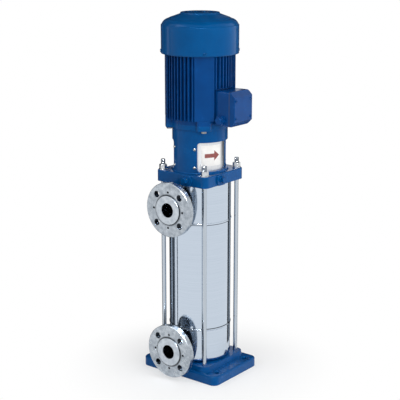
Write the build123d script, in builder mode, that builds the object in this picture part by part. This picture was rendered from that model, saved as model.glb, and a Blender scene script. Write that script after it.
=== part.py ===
"""Vertical multistage pump with its motor, 1 m tall.

The origin is on the shaft axis at the underside of the base plate. +Z is up along the shaft,
-Y is the side of both ports, and +X is the side of the terminal box. Lengths are in millimetres.
"""

import os
from math import cos, hypot, radians, sin, sqrt

from build123d import *

os.makedirs("parts", exist_ok=True)

# Base plate
base_length = 262.0
base_width = 200.0
base_edge_height = 26.0
base_corner_radius = 18.0
base_seat_side = 188.0
base_seat_corner_radius = 24.0
base_seat_rise = 14.0
base_seat_draft = 4.0
base_edge_rounding = 5.0
base_rim = 12.0
base_pocket_depth = 13.0
base_rib = 8.0
base_boss_wall = 8.0
foot_hole_inset_x = 21.0
foot_hole_inset_y = 35.0
foot_hole_radius = 7.0
foot_spot_radius = 13.0
foot_spot_depth = 1.5

# Pressed casings and sleeve
casing_radius = 86.0
casing_wall = 2.5
casing_corner_radius = 12.0
suction_casing_height = 100.0
sleeve_length = 300.0
discharge_casing_height = 110.0
seam_bead_height = 5.0
seam_bead_proud = 1.4
spigot_wall = 3.2
spigot_length = 12.0
spigot_root = 8.0
spigot_clearance = 0.1
seal_width = 3.0
seal_depth = 1.6
seal_clearance = 0.05

# Ports
suction_port_rise = 44.0
discharge_port_rise = 50.0
port_bore_radius = 20.0
stub_wall = 4.15
stub_root_rounding = 7.0
collar_radius = 39.5
collar_thickness = 3.0
collar_rounding = 1.2
flange_radius = 75.0
flange_thickness = 17.0
flange_running_gap = 0.3
flange_plug_clearance = 22.2
flange_bolt_circle = 110.0
flange_hole_radius = 9.0
flange_jack_circle = 98.0
flange_jack_radius = 3.2
flange_chamfer = 1.5

# Drain, vent and fill plugs
plug_thread_radius = 8.0
plug_collar_radius = 11.0
plug_collar_thickness = 2.5
plug_hex_flats = 16.0
plug_hex_height = 7.0
plug_fit = 0.1
drain_boss_radius = 13.0
drain_boss_reach = 6.0
drain_plug_rise = 24.0
drain_plug_angle = 180.0
head_boss_radius = 20.0
head_boss_proud = 4.0
head_plug_offset = 20.0

# Tie rods
rod_radius = 6.0
rod_inset = 15.0
rod_fit = 0.1
rod_depth_in_base = 28.0
rod_overhang = 29.0
washer_radius = 11.8
washer_thickness = 2.5
nut_flats = 19.0
nut_height = 12.0
rod_chamfer = 1.0

# Pump head and lantern
head_flange_side = 174.0
head_flange_thickness = 31.0
head_edge_rounding = 3.0
head_bore_radius = 34.0
lantern_radius = 76.0
lantern_wall = 9.0
lantern_height = 133.0
lantern_root_rounding = 4.0
window_half_angle = 58.0
window_sill = 5.0
window_height = 80.0
window_corner_radius = 9.0
top_flange_radius = 80.0
top_flange_thickness = 14.0
lug_width = 40.0
lug_reach = 94.0
lug_corner_radius = 8.0
motor_bolt_circle = 168.0
motor_bolt_radius = 4.0
motor_bolt_flats = 13.0
motor_bolt_head_height = 5.5

# Coupling guards
guard_gap = 0.3
guard_wall = 1.2
guard_lap_angle = 9.0
guard_foot_gap = 3.0
guard_top_lap = 10.0
guard_screw_radius = 2.0
guard_screw_head_radius = 3.8
guard_screw_head_height = 2.4
guard_screw_rise = 14.0
guard_screw_drop = 28.0
guard_screw_lap = 5.0

# Stages
stage_count = 6
stage_height = 50.0
diffuser_radius = 78.5
diffuser_wall = 2.5
diffuser_plate = 3.0
diffuser_vane_count = 6
diffuser_vane_height = 18.0
diffuser_disc = 2.0
diffuser_vane_thickness = 2.5
diffuser_vane_sweep = 50.0
impeller_radius = 64.0
impeller_eye_radius = 30.0
impeller_neck_wall = 2.5
impeller_shroud = 2.0
impeller_blade_count = 6
impeller_blade_sweep = 60.0
impeller_blade_thickness = 2.0
impeller_channel = 12.0
impeller_neck_height = 6.0
impeller_hub_wall = 5.0
impeller_hub_rise = 4.0
vane_middle_share = 0.6
eye_clearance = 0.4
inlet_shelf = 3.0
inlet_shelf_width = 12.0
spider_arm_width = 8.0
clamp_ring_height = 10.0
clamp_ring_width = 8.0
clamp_post_radius = 4.0
clamp_post_count = 4

# Pump shaft, lower bush and shaft seal
pump_shaft_radius = 11.0
slip_fit = 0.05
running_fit = 0.08
bush_wall = 3.5
bush_height = 13.0
bush_housing_wall = 5.0
shaft_nut_height = 8.0
shaft_nut_flats = 28.0
shaft_tail = 4.0
seal_plate_thickness = 10.0
seal_plate_clearance = 0.3
seal_neck_radius = 30.0
seal_neck_wall = 6.0
seal_neck_rise = 22.0
seal_gland_thickness = 6.0
seal_gland_radius = 17.0
seat_ring_height = 8.0
seat_ring_bore_radius = 13.0
rotating_ring_height = 24.0
rotating_ring_radius = 20.0
seal_face_gap = 0.3

# Coupling
coupling_radius = 34.0
coupling_height = 84.0
coupling_rise = 14.0
coupling_split = 1.0
coupling_screw_radius = 3.0
coupling_screw_head_radius = 5.0
coupling_screw_head_height = 6.0
coupling_screw_offset = 24.0
coupling_rounding = 2.0
coupling_screw_seat = 14.0
shaft_end_gap = 6.0

# Motor
shield_thickness = 13.0
frame_length = 172.0
frame_bore_radius = 75.0
frame_wall = 7.0
fin_tip_radius = 97.0
fin_thickness = 2.6
fin_pitch = 10.5
fin_count_each_side = 4
corner_strip_width = 53.0
corner_strip_reach = 93.0
spigot_depth = 4.0
motor_shaft_radius = 14.0
bearing_bore_radius = 15.0
bearing_outer_radius = 31.0
bearing_width = 15.0
bearing_housing_wall = 7.0
bearing_lip = 4.0
bearing_lip_gap = 1.0
motor_bolt_reach = 10.0
fan_shield_thickness = 14.0
box_fin_gap = 5.0
saddle_depth_share = 0.9
fan_bearing_bore_radius = 12.5
fan_bearing_outer_radius = 26.0
rotor_radius = 45.0
rotor_length = 100.0
air_gap = 0.5
winding_height = 18.0
winding_inset = 6.0
rotor_seat_radius = 18.0
fan_shaft_radius = 10.0

# Fan and fan cover
fan_cover_radius = 105.0
fan_cover_height = 108.0
fan_cover_wall = 2.0
cover_shoulder_drop = 33.0
cover_step = 2.0
cover_inner_step_radius = 84.0
cover_shoulder_rise = 17.0
cover_cap_radius = 54.0
cover_cap_rise = 4.0
grille_ring_count = 3
grille_slot_width = 7.0
grille_pitch = 15.0
grille_bar = 8.0
cover_screw_radius = 2.5
cover_screw_head_radius = 4.5
cover_screw_head_height = 2.5
cover_screw_rise = 7.0
cover_lug_width = 16.0
cover_lug_gap = 0.3
cover_screw_reach = 16.0
cover_shoulder_radius = 24.0
fan_radius = 86.0
fan_hub_wall = 9.0
fan_hub_height = 30.0
fan_blade_count = 8
fan_blade_thickness = 2.5
fan_disc_radius = 55.0
fan_rise = 20.0

# Terminal box
box_width = 80.0
box_height = 93.0
box_drop = 12.0
box_seat_distance = 86.0
box_base_depth = 41.0
box_lid_depth = 17.0
box_lid_edge = 3.0
box_lid_rounding = 1.5
box_gasket = 1.5
box_wall = 3.0
box_corner_radius = 5.0
lid_screw_radius = 2.0
lid_screw_head_radius = 3.8
lid_screw_head_height = 2.5
lid_screw_inset_y = 7.0
lid_screw_inset_z = 23.0
lid_screw_reach = 12.0
entry_radius = 10.0
entry_boss_radius = 14.0
entry_boss_reach = 4.0
entry_depth = 16.0
entry_rise = 16.0
entry_flats = 24.0
entry_hex_height = 6.0
entry_cap_height = 5.0
terminal_board_thickness = 8.0
terminal_board_width = 50.0
terminal_board_height = 40.0
terminal_stud_radius = 2.5
terminal_stud_height = 10.0

# Angles of the four corners from +X
corner_angles = (45, 135, 225, 315)

# Levels along the shaft axis, worked out from the sizes above
seat_z = base_edge_height + base_seat_rise
lower_seam_z = seat_z + suction_casing_height
upper_seam_z = lower_seam_z + sleeve_length
head_z = upper_seam_z + discharge_casing_height
head_top_z = head_z + head_flange_thickness
motor_z = head_top_z + lantern_height
frame_z = motor_z + shield_thickness
frame_top_z = frame_z + frame_length
cover_top_z = frame_top_z + fan_cover_height
suction_port_z = seat_z + suction_port_rise
discharge_port_z = upper_seam_z + discharge_port_rise
stub_radius = port_bore_radius + stub_wall
foot_hole_spacing_x = base_length - 2 * foot_hole_inset_x
foot_hole_spacing_y = base_width - 2 * foot_hole_inset_y
rod_offset = head_flange_side / 2 - rod_inset
head_face = head_flange_side / 2 + head_boss_proud
vent_plug_reach = head_face + plug_collar_thickness + plug_hex_height
flange_back = vent_plug_reach + flange_plug_clearance
flange_front = flange_back + flange_thickness
port_face_distance = flange_front + flange_running_gap + collar_thickness
casing_inner_radius = casing_radius - casing_wall
spigot_outer_radius = casing_inner_radius - spigot_clearance
spigot_inner_radius = spigot_outer_radius - spigot_wall
lantern_inner_radius = lantern_radius - lantern_wall
window_z = head_top_z + window_sill
fin_span = 2 * fin_count_each_side * fin_pitch + 2 * fin_thickness
cover_lug_reach = fan_cover_radius - fan_cover_wall - cover_lug_gap


def finish(piece, name):
    """Name a finished piece and write it to its own file."""
    piece.part.label = name
    export_step(piece.part, f"parts/{name}.step")


def hexagon_radius(flats):
    """Corner radius of a hexagon with the given distance across its flats."""
    return flats / sqrt(3)


def tube(bottom_z, height, outer_radius, inner_radius):
    """A plain ring or tube on the shaft axis."""
    with BuildPart() as piece:
        with BuildSketch(Plane.XY.offset(bottom_z)):
            Circle(outer_radius)
            Circle(inner_radius, mode=Mode.SUBTRACT)
        extrude(amount=height)
    return piece


def half_plane(angle):
    """The upright plane through the shaft axis at the given angle from +X: across, then up."""
    turn = radians(angle)
    return Plane(origin=(0, 0, 0), x_dir=(cos(turn), sin(turn), 0), z_dir=(sin(turn), -cos(turn), 0))


def facing_plane(angle, distance):
    """The upright plane that faces outwards at the given angle and distance from the shaft axis."""
    turn = radians(angle)
    out = Vector(cos(turn), sin(turn), 0)
    return Plane(origin=out * distance, x_dir=(-sin(turn), cos(turn), 0), z_dir=out)


# Base plate: a grey iron casting, hollow underneath, with a raised seat for the casing
with BuildPart() as base_plate:
    with BuildSketch():
        RectangleRounded(base_length, base_width, base_corner_radius)
    extrude(amount=base_edge_height)
    fillet(base_plate.faces().sort_by(Axis.Z)[-1].edges(), base_edge_rounding)
    with BuildSketch(Plane.XY.offset(base_edge_height - base_seat_draft)):
        RectangleRounded(base_seat_side, base_seat_side, base_seat_corner_radius)
    with BuildSketch(Plane.XY.offset(seat_z)):
        RectangleRounded(
            base_seat_side - 2 * base_seat_draft,
            base_seat_side - 2 * base_seat_draft,
            base_seat_corner_radius - base_seat_draft,
        )
    loft()
    with BuildSketch() as underside_pocket:
        RectangleRounded(
            base_length - 2 * base_rim,
            base_width - 2 * base_rim,
            base_corner_radius - base_rim,
        )
        Rectangle(base_length, base_rib, mode=Mode.SUBTRACT)
        with GridLocations(base_length / 3, 1, 2, 1):
            Rectangle(base_rib, base_width, mode=Mode.SUBTRACT)
        with GridLocations(2 * rod_offset, 2 * rod_offset, 2, 2):
            Circle(rod_radius + base_boss_wall, mode=Mode.SUBTRACT)
        with GridLocations(foot_hole_spacing_x, foot_hole_spacing_y, 2, 2):
            Circle(foot_hole_radius + base_boss_wall, mode=Mode.SUBTRACT)
    extrude(amount=base_pocket_depth, mode=Mode.SUBTRACT)
    with Locations((0, 0, base_edge_height)):
        with GridLocations(foot_hole_spacing_x, foot_hole_spacing_y, 2, 2):
            CounterBoreHole(foot_hole_radius, foot_spot_radius, foot_spot_depth, depth=base_edge_height)
    with Locations((0, 0, seat_z)):
        with GridLocations(2 * rod_offset, 2 * rod_offset, 2, 2):
            Hole(rod_radius + rod_fit, depth=rod_depth_in_base)
finish(base_plate, "base_plate")


# Casings: each has a welded pipe stub that ends in a lap collar
def casing_with_stub(bottom_z, height, port_z, spigot_up):
    """A pressed casing with its port, and with the spigot that enters the sleeve at its seam."""
    seam_z = bottom_z + height if spigot_up else bottom_z
    rise = 1 if spigot_up else -1
    floor = casing_wall if spigot_up else 0
    with BuildPart() as hollow:
        with BuildSketch(Plane.XY.offset(bottom_z + floor)):
            Circle(casing_inner_radius)
        extrude(amount=height - floor)
        if spigot_up:
            fillet(hollow.edges().group_by(Axis.Z)[0], casing_corner_radius - casing_wall)
    with BuildPart() as casing:
        with BuildSketch(Plane.XY.offset(bottom_z)):
            Circle(casing_radius)
        extrude(amount=height)
        if spigot_up:
            fillet(casing.edges().group_by(Axis.Z)[0], casing_corner_radius)
        with BuildSketch(Plane.XZ.offset(port_face_distance)):
            with Locations((0, port_z)):
                Circle(stub_radius)
        extrude(amount=casing_wall - port_face_distance + casing_radius / 2)
        root_edges = casing.edges().filter_by(GeomType.BSPLINE)
        fillet(root_edges, stub_root_rounding)
        with BuildSketch(Plane.XZ.offset(port_face_distance)):
            with Locations((0, port_z)):
                Circle(collar_radius)
        extrude(amount=-collar_thickness)
        fillet(casing.faces().sort_by(Axis.Y)[0].edges().sort_by(SortBy.RADIUS)[-1], collar_rounding)
        # Bead rolled into the casing beside its seam
        with BuildSketch(Plane.XZ):
            with Locations((casing_radius, seam_z - rise * seam_bead_height / 2)):
                Ellipse(seam_bead_proud, seam_bead_height / 2)
        revolve(axis=Axis.Z)
        add(hollow.part, mode=Mode.SUBTRACT)
        with BuildSketch(Plane.XZ.offset(port_face_distance)):
            with Locations((0, port_z)):
                Circle(port_bore_radius)
        extrude(amount=-port_face_distance, mode=Mode.SUBTRACT)
        # Spigot with the groove of its seal
        with BuildSketch(Plane.XY.offset(seam_z - rise * spigot_root)):
            Circle(casing_inner_radius)
            Circle(spigot_inner_radius, mode=Mode.SUBTRACT)
        extrude(amount=rise * spigot_root)
        with BuildSketch(Plane.XY.offset(seam_z)):
            Circle(spigot_outer_radius)
            Circle(spigot_inner_radius, mode=Mode.SUBTRACT)
        extrude(amount=rise * spigot_length)
        with BuildSketch(Plane.XY.offset(seam_z + rise * (spigot_length - seal_width) / 2)):
            Circle(casing_inner_radius)
            Circle(spigot_outer_radius - seal_depth, mode=Mode.SUBTRACT)
        extrude(amount=rise * seal_width, mode=Mode.SUBTRACT)
    return casing


stack_z = lower_seam_z - spigot_root + inlet_shelf
bush_radius = pump_shaft_radius + running_fit + bush_wall
with BuildPart() as suction_casing:
    add(casing_with_stub(seat_z, suction_casing_height, suction_port_z, True).part)
    # Inlet shelf that carries the stages, with the spider that holds the lower bush
    with BuildSketch(Plane.XY.offset(stack_z - inlet_shelf)):
        Circle(casing_inner_radius)
        Circle(casing_inner_radius - inlet_shelf_width, mode=Mode.SUBTRACT)
        Rectangle(2 * casing_inner_radius - 1, spider_arm_width)
        Rectangle(spider_arm_width, 2 * casing_inner_radius - 1)
    extrude(amount=inlet_shelf)
    with BuildSketch(Plane.XY.offset(stack_z - bush_height)):
        Circle(bush_radius + bush_housing_wall)
    extrude(amount=bush_height)
    with BuildSketch(Plane.XY.offset(stack_z - bush_height)):
        Circle(bush_radius + slip_fit)
    extrude(amount=bush_height, mode=Mode.SUBTRACT)
    # Boss of the drain plug
    with BuildSketch(facing_plane(drain_plug_angle, casing_inner_radius)):
        with Locations((0, seat_z + drain_plug_rise)):
            Circle(drain_boss_radius)
    extrude(amount=casing_wall + drain_boss_reach)
    with BuildSketch(facing_plane(drain_plug_angle, casing_inner_radius - drain_boss_radius)):
        with Locations((0, seat_z + drain_plug_rise)):
            Circle(plug_thread_radius + plug_fit)
    extrude(amount=drain_boss_radius + casing_wall + drain_boss_reach, mode=Mode.SUBTRACT)
finish(suction_casing, "suction_casing")

discharge_casing = casing_with_stub(upper_seam_z, discharge_casing_height, discharge_port_z, False)
finish(discharge_casing, "discharge_casing")

# Outer sleeve: a rolled and polished tube between the two casings
outer_sleeve = tube(lower_seam_z, sleeve_length, casing_radius, casing_inner_radius)
finish(outer_sleeve, "outer_sleeve")

# Casing seals: a rubber ring in the groove of each spigot
with BuildPart() as casing_seals:
    seal_rise = (spigot_length - seal_width) / 2
    for seal_z in (lower_seam_z + seal_rise, upper_seam_z - seal_rise - seal_width):
        with BuildSketch(Plane.XY.offset(seal_z + seal_clearance)):
            Circle(casing_inner_radius - seal_clearance)
            Circle(spigot_outer_radius - seal_depth + seal_clearance, mode=Mode.SUBTRACT)
        extrude(amount=seal_width - 2 * seal_clearance)
finish(casing_seals, "casing_seals")


# Loose flanges: each turns freely on its stub behind the lap collar
def loose_flange(port_z):
    """A round flange with four bolt holes and four small jacking holes."""
    with BuildPart() as flange:
        with BuildSketch(Plane.XZ.offset(flange_front)):
            with Locations((0, port_z)):
                Circle(flange_radius)
                Circle(stub_radius + flange_running_gap, mode=Mode.SUBTRACT)
                with PolarLocations(flange_bolt_circle / 2, 4, start_angle=45):
                    Circle(flange_hole_radius, mode=Mode.SUBTRACT)
                with PolarLocations(flange_jack_circle / 2, 4):
                    Circle(flange_jack_radius, mode=Mode.SUBTRACT)
        extrude(amount=-flange_thickness)
        circles = flange.edges().filter_by(GeomType.CIRCLE)
        chamfer(circles.group_by(SortBy.RADIUS)[-1], flange_chamfer)
    return flange


suction_flange = loose_flange(suction_port_z)
finish(suction_flange, "suction_flange")
discharge_flange = loose_flange(discharge_port_z)
finish(discharge_flange, "discharge_flange")


# Screw plugs: a thread, a collar and a hexagon
def screw_plug(plane, along, height, depth):
    """A plug on the given plane, which is the face that its collar seats on."""
    with BuildPart() as plug:
        with BuildSketch(plane):
            with Locations((along, height)):
                Circle(plug_thread_radius)
        extrude(amount=-depth)
        with BuildSketch(plane):
            with Locations((along, height)):
                Circle(plug_collar_radius)
        extrude(amount=plug_collar_thickness)
        with BuildSketch(plane.offset(plug_collar_thickness)):
            with Locations((along, height)):
                RegularPolygon(hexagon_radius(plug_hex_flats), 6)
        extrude(amount=plug_hex_height)
    return plug


head_plug_z = head_z + head_flange_thickness / 2
plug_depth = head_boss_proud + head_flange_side / 2 - casing_inner_radius + 2 * plug_thread_radius
vent_plug = screw_plug(Plane.XZ.offset(head_face), head_plug_offset, head_plug_z, plug_depth)
finish(vent_plug, "vent_plug")
fill_plug = screw_plug(Plane.YZ.offset(head_face), -head_plug_offset, head_plug_z, plug_depth)
finish(fill_plug, "fill_plug")
drain_face = facing_plane(drain_plug_angle, casing_radius + drain_boss_reach)
drain_plug = screw_plug(drain_face, 0, seat_z + drain_plug_rise, drain_boss_reach + casing_wall)
finish(drain_plug, "drain_plug")


# Guard places, used by the guards, their screws and the holes in the head
guard_radius = lantern_inner_radius - guard_gap
guard_foot_z = head_top_z + guard_foot_gap
guard_top_z = window_z + window_height + guard_top_lap
guard_half_angle = window_half_angle + guard_lap_angle
guard_screw_angle = window_half_angle + guard_screw_lap
guard_screw_levels = (guard_foot_z + guard_screw_rise, guard_top_z - guard_screw_drop)


def screw_sites():
    """The outward plane and the height of every guard screw."""
    for side in (0, 180):
        for turn in (-guard_screw_angle, guard_screw_angle):
            for level in guard_screw_levels:
                yield facing_plane(side + turn, 0), level


# Pump head: flange and lantern in one casting, with two windows beside the coupling
def lug_outline(reach):
    """Round flange with a square-ended lug at each corner, drawn in the current sketch plane."""
    with BuildSketch() as outline:
        Circle(top_flange_radius)
        with PolarLocations(reach / 2, 4, start_angle=45):
            Rectangle(reach, lug_width)
        corners = outline.vertices().filter_by(lambda corner: hypot(corner.X, corner.Y) > reach)
        fillet(corners, lug_corner_radius)
    return outline.sketch


with BuildPart() as pump_head:
    with BuildSketch(Plane.XY.offset(head_z)):
        RectangleRounded(head_flange_side, head_flange_side, rod_inset)
    extrude(amount=head_flange_thickness)
    for plane, along in ((Plane.XZ, head_plug_offset), (Plane.YZ, -head_plug_offset)):
        with BuildSketch(plane.offset(head_face)):
            with Locations((along, head_plug_z)):
                Circle(head_boss_radius)
                Rectangle(2 * head_boss_radius, head_flange_thickness, mode=Mode.INTERSECT)
        extrude(amount=-2 * head_boss_proud)
    fillet(pump_head.faces().sort_by(Axis.Z)[-1].edges(), head_edge_rounding)
    with BuildSketch(Plane.XY.offset(head_top_z)):
        Circle(lantern_radius)
    extrude(amount=lantern_height)
    root = pump_head.edges().filter_by(GeomType.CIRCLE).filter_by_position(Axis.Z, head_top_z, head_top_z)
    fillet(root.sort_by(SortBy.RADIUS)[-1], lantern_root_rounding)
    with BuildSketch(Plane.XY.offset(motor_z - top_flange_thickness)):
        add(lug_outline(lug_reach))
    extrude(amount=top_flange_thickness)
    with BuildSketch(Plane.XY.offset(head_top_z)):
        Circle(lantern_inner_radius)
    extrude(amount=lantern_height, mode=Mode.SUBTRACT)
    with BuildSketch(Plane.XY.offset(head_z)):
        Circle(head_bore_radius)
    extrude(amount=head_flange_thickness, mode=Mode.SUBTRACT)
    # Windows, each swept round the axis
    for side in (0, 180):
        with BuildSketch(half_plane(side - window_half_angle)):
            with Locations((lantern_radius, window_z + window_height / 2)):
                Rectangle(2 * (lantern_wall + lantern_root_rounding), window_height)
        revolve(axis=Axis.Z, revolution_arc=2 * window_half_angle, mode=Mode.SUBTRACT)
    for level in (window_z, window_z + window_height):
        corners = pump_head.edges().filter_by(GeomType.LINE).filter_by_position(Axis.Z, level, level)
        fillet(corners, window_corner_radius)
    with Locations((0, 0, head_top_z)):
        with GridLocations(2 * rod_offset, 2 * rod_offset, 2, 2):
            Hole(rod_radius + rod_fit, depth=head_flange_thickness)
    with Locations((0, 0, motor_z)):
        with PolarLocations(motor_bolt_circle / 2, 4, start_angle=45):
            Hole(motor_bolt_radius + rod_fit, depth=top_flange_thickness)
    for plane, along in ((Plane.XZ, head_plug_offset), (Plane.YZ, -head_plug_offset)):
        with BuildSketch(plane.offset(head_face)):
            with Locations((along, head_plug_z)):
                Circle(plug_thread_radius + plug_fit)
        extrude(amount=-plug_depth - plug_fit, mode=Mode.SUBTRACT)
    for plane, level in screw_sites():
        with BuildSketch(plane.offset(guard_radius)):
            with Locations((0, level)):
                Circle(guard_screw_radius + rod_fit)
        extrude(amount=2 * lantern_wall, mode=Mode.SUBTRACT)
finish(pump_head, "pump_head")


# Tie rods with their washers and nuts, one set at each corner
rod_top_z = head_top_z + rod_overhang
rod_foot_z = seat_z - rod_depth_in_base
with BuildPart() as tie_rods:
    with BuildSketch(Plane.XY.offset(rod_foot_z)):
        with GridLocations(2 * rod_offset, 2 * rod_offset, 2, 2):
            Circle(rod_radius)
    extrude(amount=rod_top_z - rod_foot_z)
    chamfer(tie_rods.edges().group_by(Axis.Z)[-1], rod_chamfer)
finish(tie_rods, "tie_rods")

with BuildPart() as tie_rod_washers:
    with BuildSketch(Plane.XY.offset(head_top_z)):
        with GridLocations(2 * rod_offset, 2 * rod_offset, 2, 2):
            Circle(washer_radius)
            Circle(rod_radius + rod_fit, mode=Mode.SUBTRACT)
    extrude(amount=washer_thickness)
finish(tie_rod_washers, "tie_rod_washers")

with BuildPart() as tie_rod_nuts:
    with BuildSketch(Plane.XY.offset(head_top_z + washer_thickness)):
        with GridLocations(2 * rod_offset, 2 * rod_offset, 2, 2):
            RegularPolygon(hexagon_radius(nut_flats), 6)
            Circle(rod_radius + slip_fit, mode=Mode.SUBTRACT)
    extrude(amount=nut_height)
finish(tie_rod_nuts, "tie_rod_nuts")

# Coupling guards: bent sheet inside each window, screwed to the lantern legs
for side, name in ((0, "coupling_guard_front"), (180, "coupling_guard_rear")):
    with BuildPart() as coupling_guard:
        with BuildSketch(half_plane(side - guard_half_angle)):
            with Locations((guard_radius - guard_wall / 2, (guard_foot_z + guard_top_z) / 2)):
                Rectangle(guard_wall, guard_top_z - guard_foot_z)
        revolve(axis=Axis.Z, revolution_arc=2 * guard_half_angle)
        for turn in (-guard_screw_angle, guard_screw_angle):
            for level in guard_screw_levels:
                with BuildSketch(facing_plane(side + turn, 0)):
                    with Locations((0, level)):
                        Circle(guard_screw_radius + rod_fit)
                extrude(amount=lantern_radius, mode=Mode.SUBTRACT)
    finish(coupling_guard, name)

with BuildPart() as guard_screws:
    for plane, level in screw_sites():
        with BuildSketch(plane.offset(guard_radius - 2 * guard_wall)):
            with Locations((0, level)):
                Circle(guard_screw_radius)
        extrude(amount=lantern_radius - guard_radius + 2 * guard_wall)
        with BuildSketch(plane.offset(lantern_radius)):
            with Locations((0, level)):
                Circle(guard_screw_head_radius)
        extrude(amount=guard_screw_head_height)
finish(guard_screws, "guard_screws")


# Stages: each impeller turns inside its diffuser, and the diffusers stand on one another
def curved_vanes(inner_radius, outer_radius, sweep, thickness, count):
    """A ring of vanes, each an arc that leans back as it goes outwards."""
    lean = radians(sweep)
    middle_radius = (inner_radius + outer_radius) / 2
    middle_lean = lean * vane_middle_share
    with BuildSketch() as vane:
        with BuildLine():
            ThreePointArc(
                (inner_radius, 0),
                (middle_radius * cos(middle_lean), middle_radius * sin(middle_lean)),
                (outer_radius * cos(lean), outer_radius * sin(lean)),
            )
        trace(line_width=thickness)
    with BuildSketch() as ring:
        with PolarLocations(0, count):
            add(vane.sketch)
    return ring.sketch


hub_radius = pump_shaft_radius + impeller_hub_wall
hub_bore_radius = pump_shaft_radius + slip_fit
blade_rise = impeller_neck_height + impeller_shroud
hub_top_rise = blade_rise + impeller_channel + impeller_shroud + impeller_hub_rise
disc_rise = stage_height - diffuser_vane_height - diffuser_disc


def diffuser(bottom_z):
    """Stage bowl: a plate with the eye, a wall, and the return vanes above the impeller."""
    inner_radius = diffuser_radius - diffuser_wall
    with BuildPart() as bowl:
        with BuildSketch(Plane.XY.offset(bottom_z)):
            Circle(diffuser_radius)
            Circle(impeller_eye_radius + eye_clearance, mode=Mode.SUBTRACT)
        extrude(amount=diffuser_plate)
        with BuildSketch(Plane.XY.offset(bottom_z + diffuser_plate)):
            Circle(diffuser_radius)
            Circle(inner_radius, mode=Mode.SUBTRACT)
        extrude(amount=stage_height - diffuser_plate)
        with BuildSketch(Plane.XY.offset(bottom_z + disc_rise)):
            Circle(impeller_radius)
            Circle(hub_radius + eye_clearance, mode=Mode.SUBTRACT)
        extrude(amount=diffuser_disc)
        with BuildSketch(Plane.XY.offset(bottom_z + disc_rise + diffuser_disc)):
            add(
                curved_vanes(
                    impeller_eye_radius,
                    inner_radius + diffuser_wall / 2,
                    diffuser_vane_sweep,
                    diffuser_vane_thickness,
                    diffuser_vane_count,
                )
            )
        extrude(amount=diffuser_vane_height)
    return bowl


def impeller(bottom_z):
    """Closed impeller: neck, two shrouds, blades that lean back, and a hub."""
    eye_bore_radius = impeller_eye_radius - impeller_neck_wall
    with BuildPart() as wheel:
        with BuildSketch(Plane.XY.offset(bottom_z)):
            Circle(impeller_eye_radius)
            Circle(eye_bore_radius, mode=Mode.SUBTRACT)
        extrude(amount=impeller_neck_height)
        with BuildSketch(Plane.XY.offset(bottom_z + impeller_neck_height)):
            Circle(impeller_radius)
            Circle(eye_bore_radius, mode=Mode.SUBTRACT)
        extrude(amount=impeller_shroud)
        with BuildSketch(Plane.XY.offset(bottom_z + blade_rise)):
            add(
                curved_vanes(
                    eye_bore_radius,
                    impeller_radius - impeller_blade_thickness,
                    -impeller_blade_sweep,
                    impeller_blade_thickness,
                    impeller_blade_count,
                )
            )
        extrude(amount=impeller_channel)
        with BuildSketch(Plane.XY.offset(bottom_z + blade_rise + impeller_channel)):
            Circle(impeller_radius)
        extrude(amount=impeller_shroud)
        with BuildSketch(Plane.XY.offset(bottom_z + blade_rise)):
            Circle(hub_radius)
        extrude(amount=hub_top_rise - blade_rise)
        with BuildSketch(Plane.XY.offset(bottom_z)):
            Circle(hub_bore_radius)
        extrude(amount=hub_top_rise, mode=Mode.SUBTRACT)
    return wheel


stage_levels = [stack_z + stage * stage_height for stage in range(stage_count)]
stack_top_z = stack_z + stage_count * stage_height
for number, stage_z in enumerate(stage_levels, start=1):
    finish(diffuser(stage_z), f"diffuser_{number}")
    finish(impeller(stage_z), f"impeller_{number}")

# Seal housing: the plate that closes the discharge casing, with the neck that holds the seat ring
seal_plate_z = head_z - seal_plate_thickness
gland_z = head_z + seal_neck_rise - seal_gland_thickness
seal_chamber_radius = seal_neck_radius - seal_neck_wall
seat_ring_z = gland_z - seat_ring_height
rotating_ring_z = seat_ring_z - seal_face_gap - rotating_ring_height
with BuildPart() as seal_housing:
    with BuildSketch(Plane.XY.offset(seal_plate_z)):
        Circle(casing_inner_radius - seal_plate_clearance)
    extrude(amount=seal_plate_thickness)
    with BuildSketch(Plane.XY.offset(head_z)):
        Circle(seal_neck_radius)
    extrude(amount=seal_neck_rise)
    with BuildSketch(Plane.XY.offset(seal_plate_z)):
        Circle(seal_chamber_radius)
    extrude(amount=gland_z - seal_plate_z, mode=Mode.SUBTRACT)
    with BuildSketch(Plane.XY.offset(gland_z)):
        Circle(seal_gland_radius)
    extrude(amount=seal_gland_thickness, mode=Mode.SUBTRACT)
finish(seal_housing, "seal_housing")
seal_seat_ring = tube(seat_ring_z, seat_ring_height, seal_chamber_radius - slip_fit, seat_ring_bore_radius)
finish(seal_seat_ring, "seal_seat_ring")
seal_rotating_ring = tube(rotating_ring_z, rotating_ring_height, rotating_ring_radius, hub_bore_radius)
finish(seal_rotating_ring, "seal_rotating_ring")

# Stage clamp: the ring and posts that press the stack of diffusers down from the seal housing
with BuildPart() as stage_clamp:
    with BuildSketch(Plane.XY.offset(stack_top_z)):
        Circle(diffuser_radius)
        Circle(diffuser_radius - clamp_ring_width, mode=Mode.SUBTRACT)
    extrude(amount=clamp_ring_height)
    with BuildSketch(Plane.XY.offset(stack_top_z + clamp_ring_height)):
        with PolarLocations(diffuser_radius - clamp_ring_width / 2, clamp_post_count, start_angle=45):
            Circle(clamp_post_radius)
    extrude(amount=seal_plate_z - stack_top_z - clamp_ring_height)
finish(stage_clamp, "stage_clamp")

# Lower bush, shaft nut and spacer sleeves
lower_bush = tube(stack_z - bush_height, bush_height, bush_radius, pump_shaft_radius + running_fit)
finish(lower_bush, "lower_bush")

shaft_nut_z = stack_z - bush_height - seal_face_gap - shaft_nut_height
with BuildPart() as shaft_nut:
    with BuildSketch(Plane.XY.offset(shaft_nut_z)):
        RegularPolygon(hexagon_radius(shaft_nut_flats), 6)
        Circle(hub_bore_radius, mode=Mode.SUBTRACT)
    extrude(amount=shaft_nut_height)
finish(shaft_nut, "shaft_nut")

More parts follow.
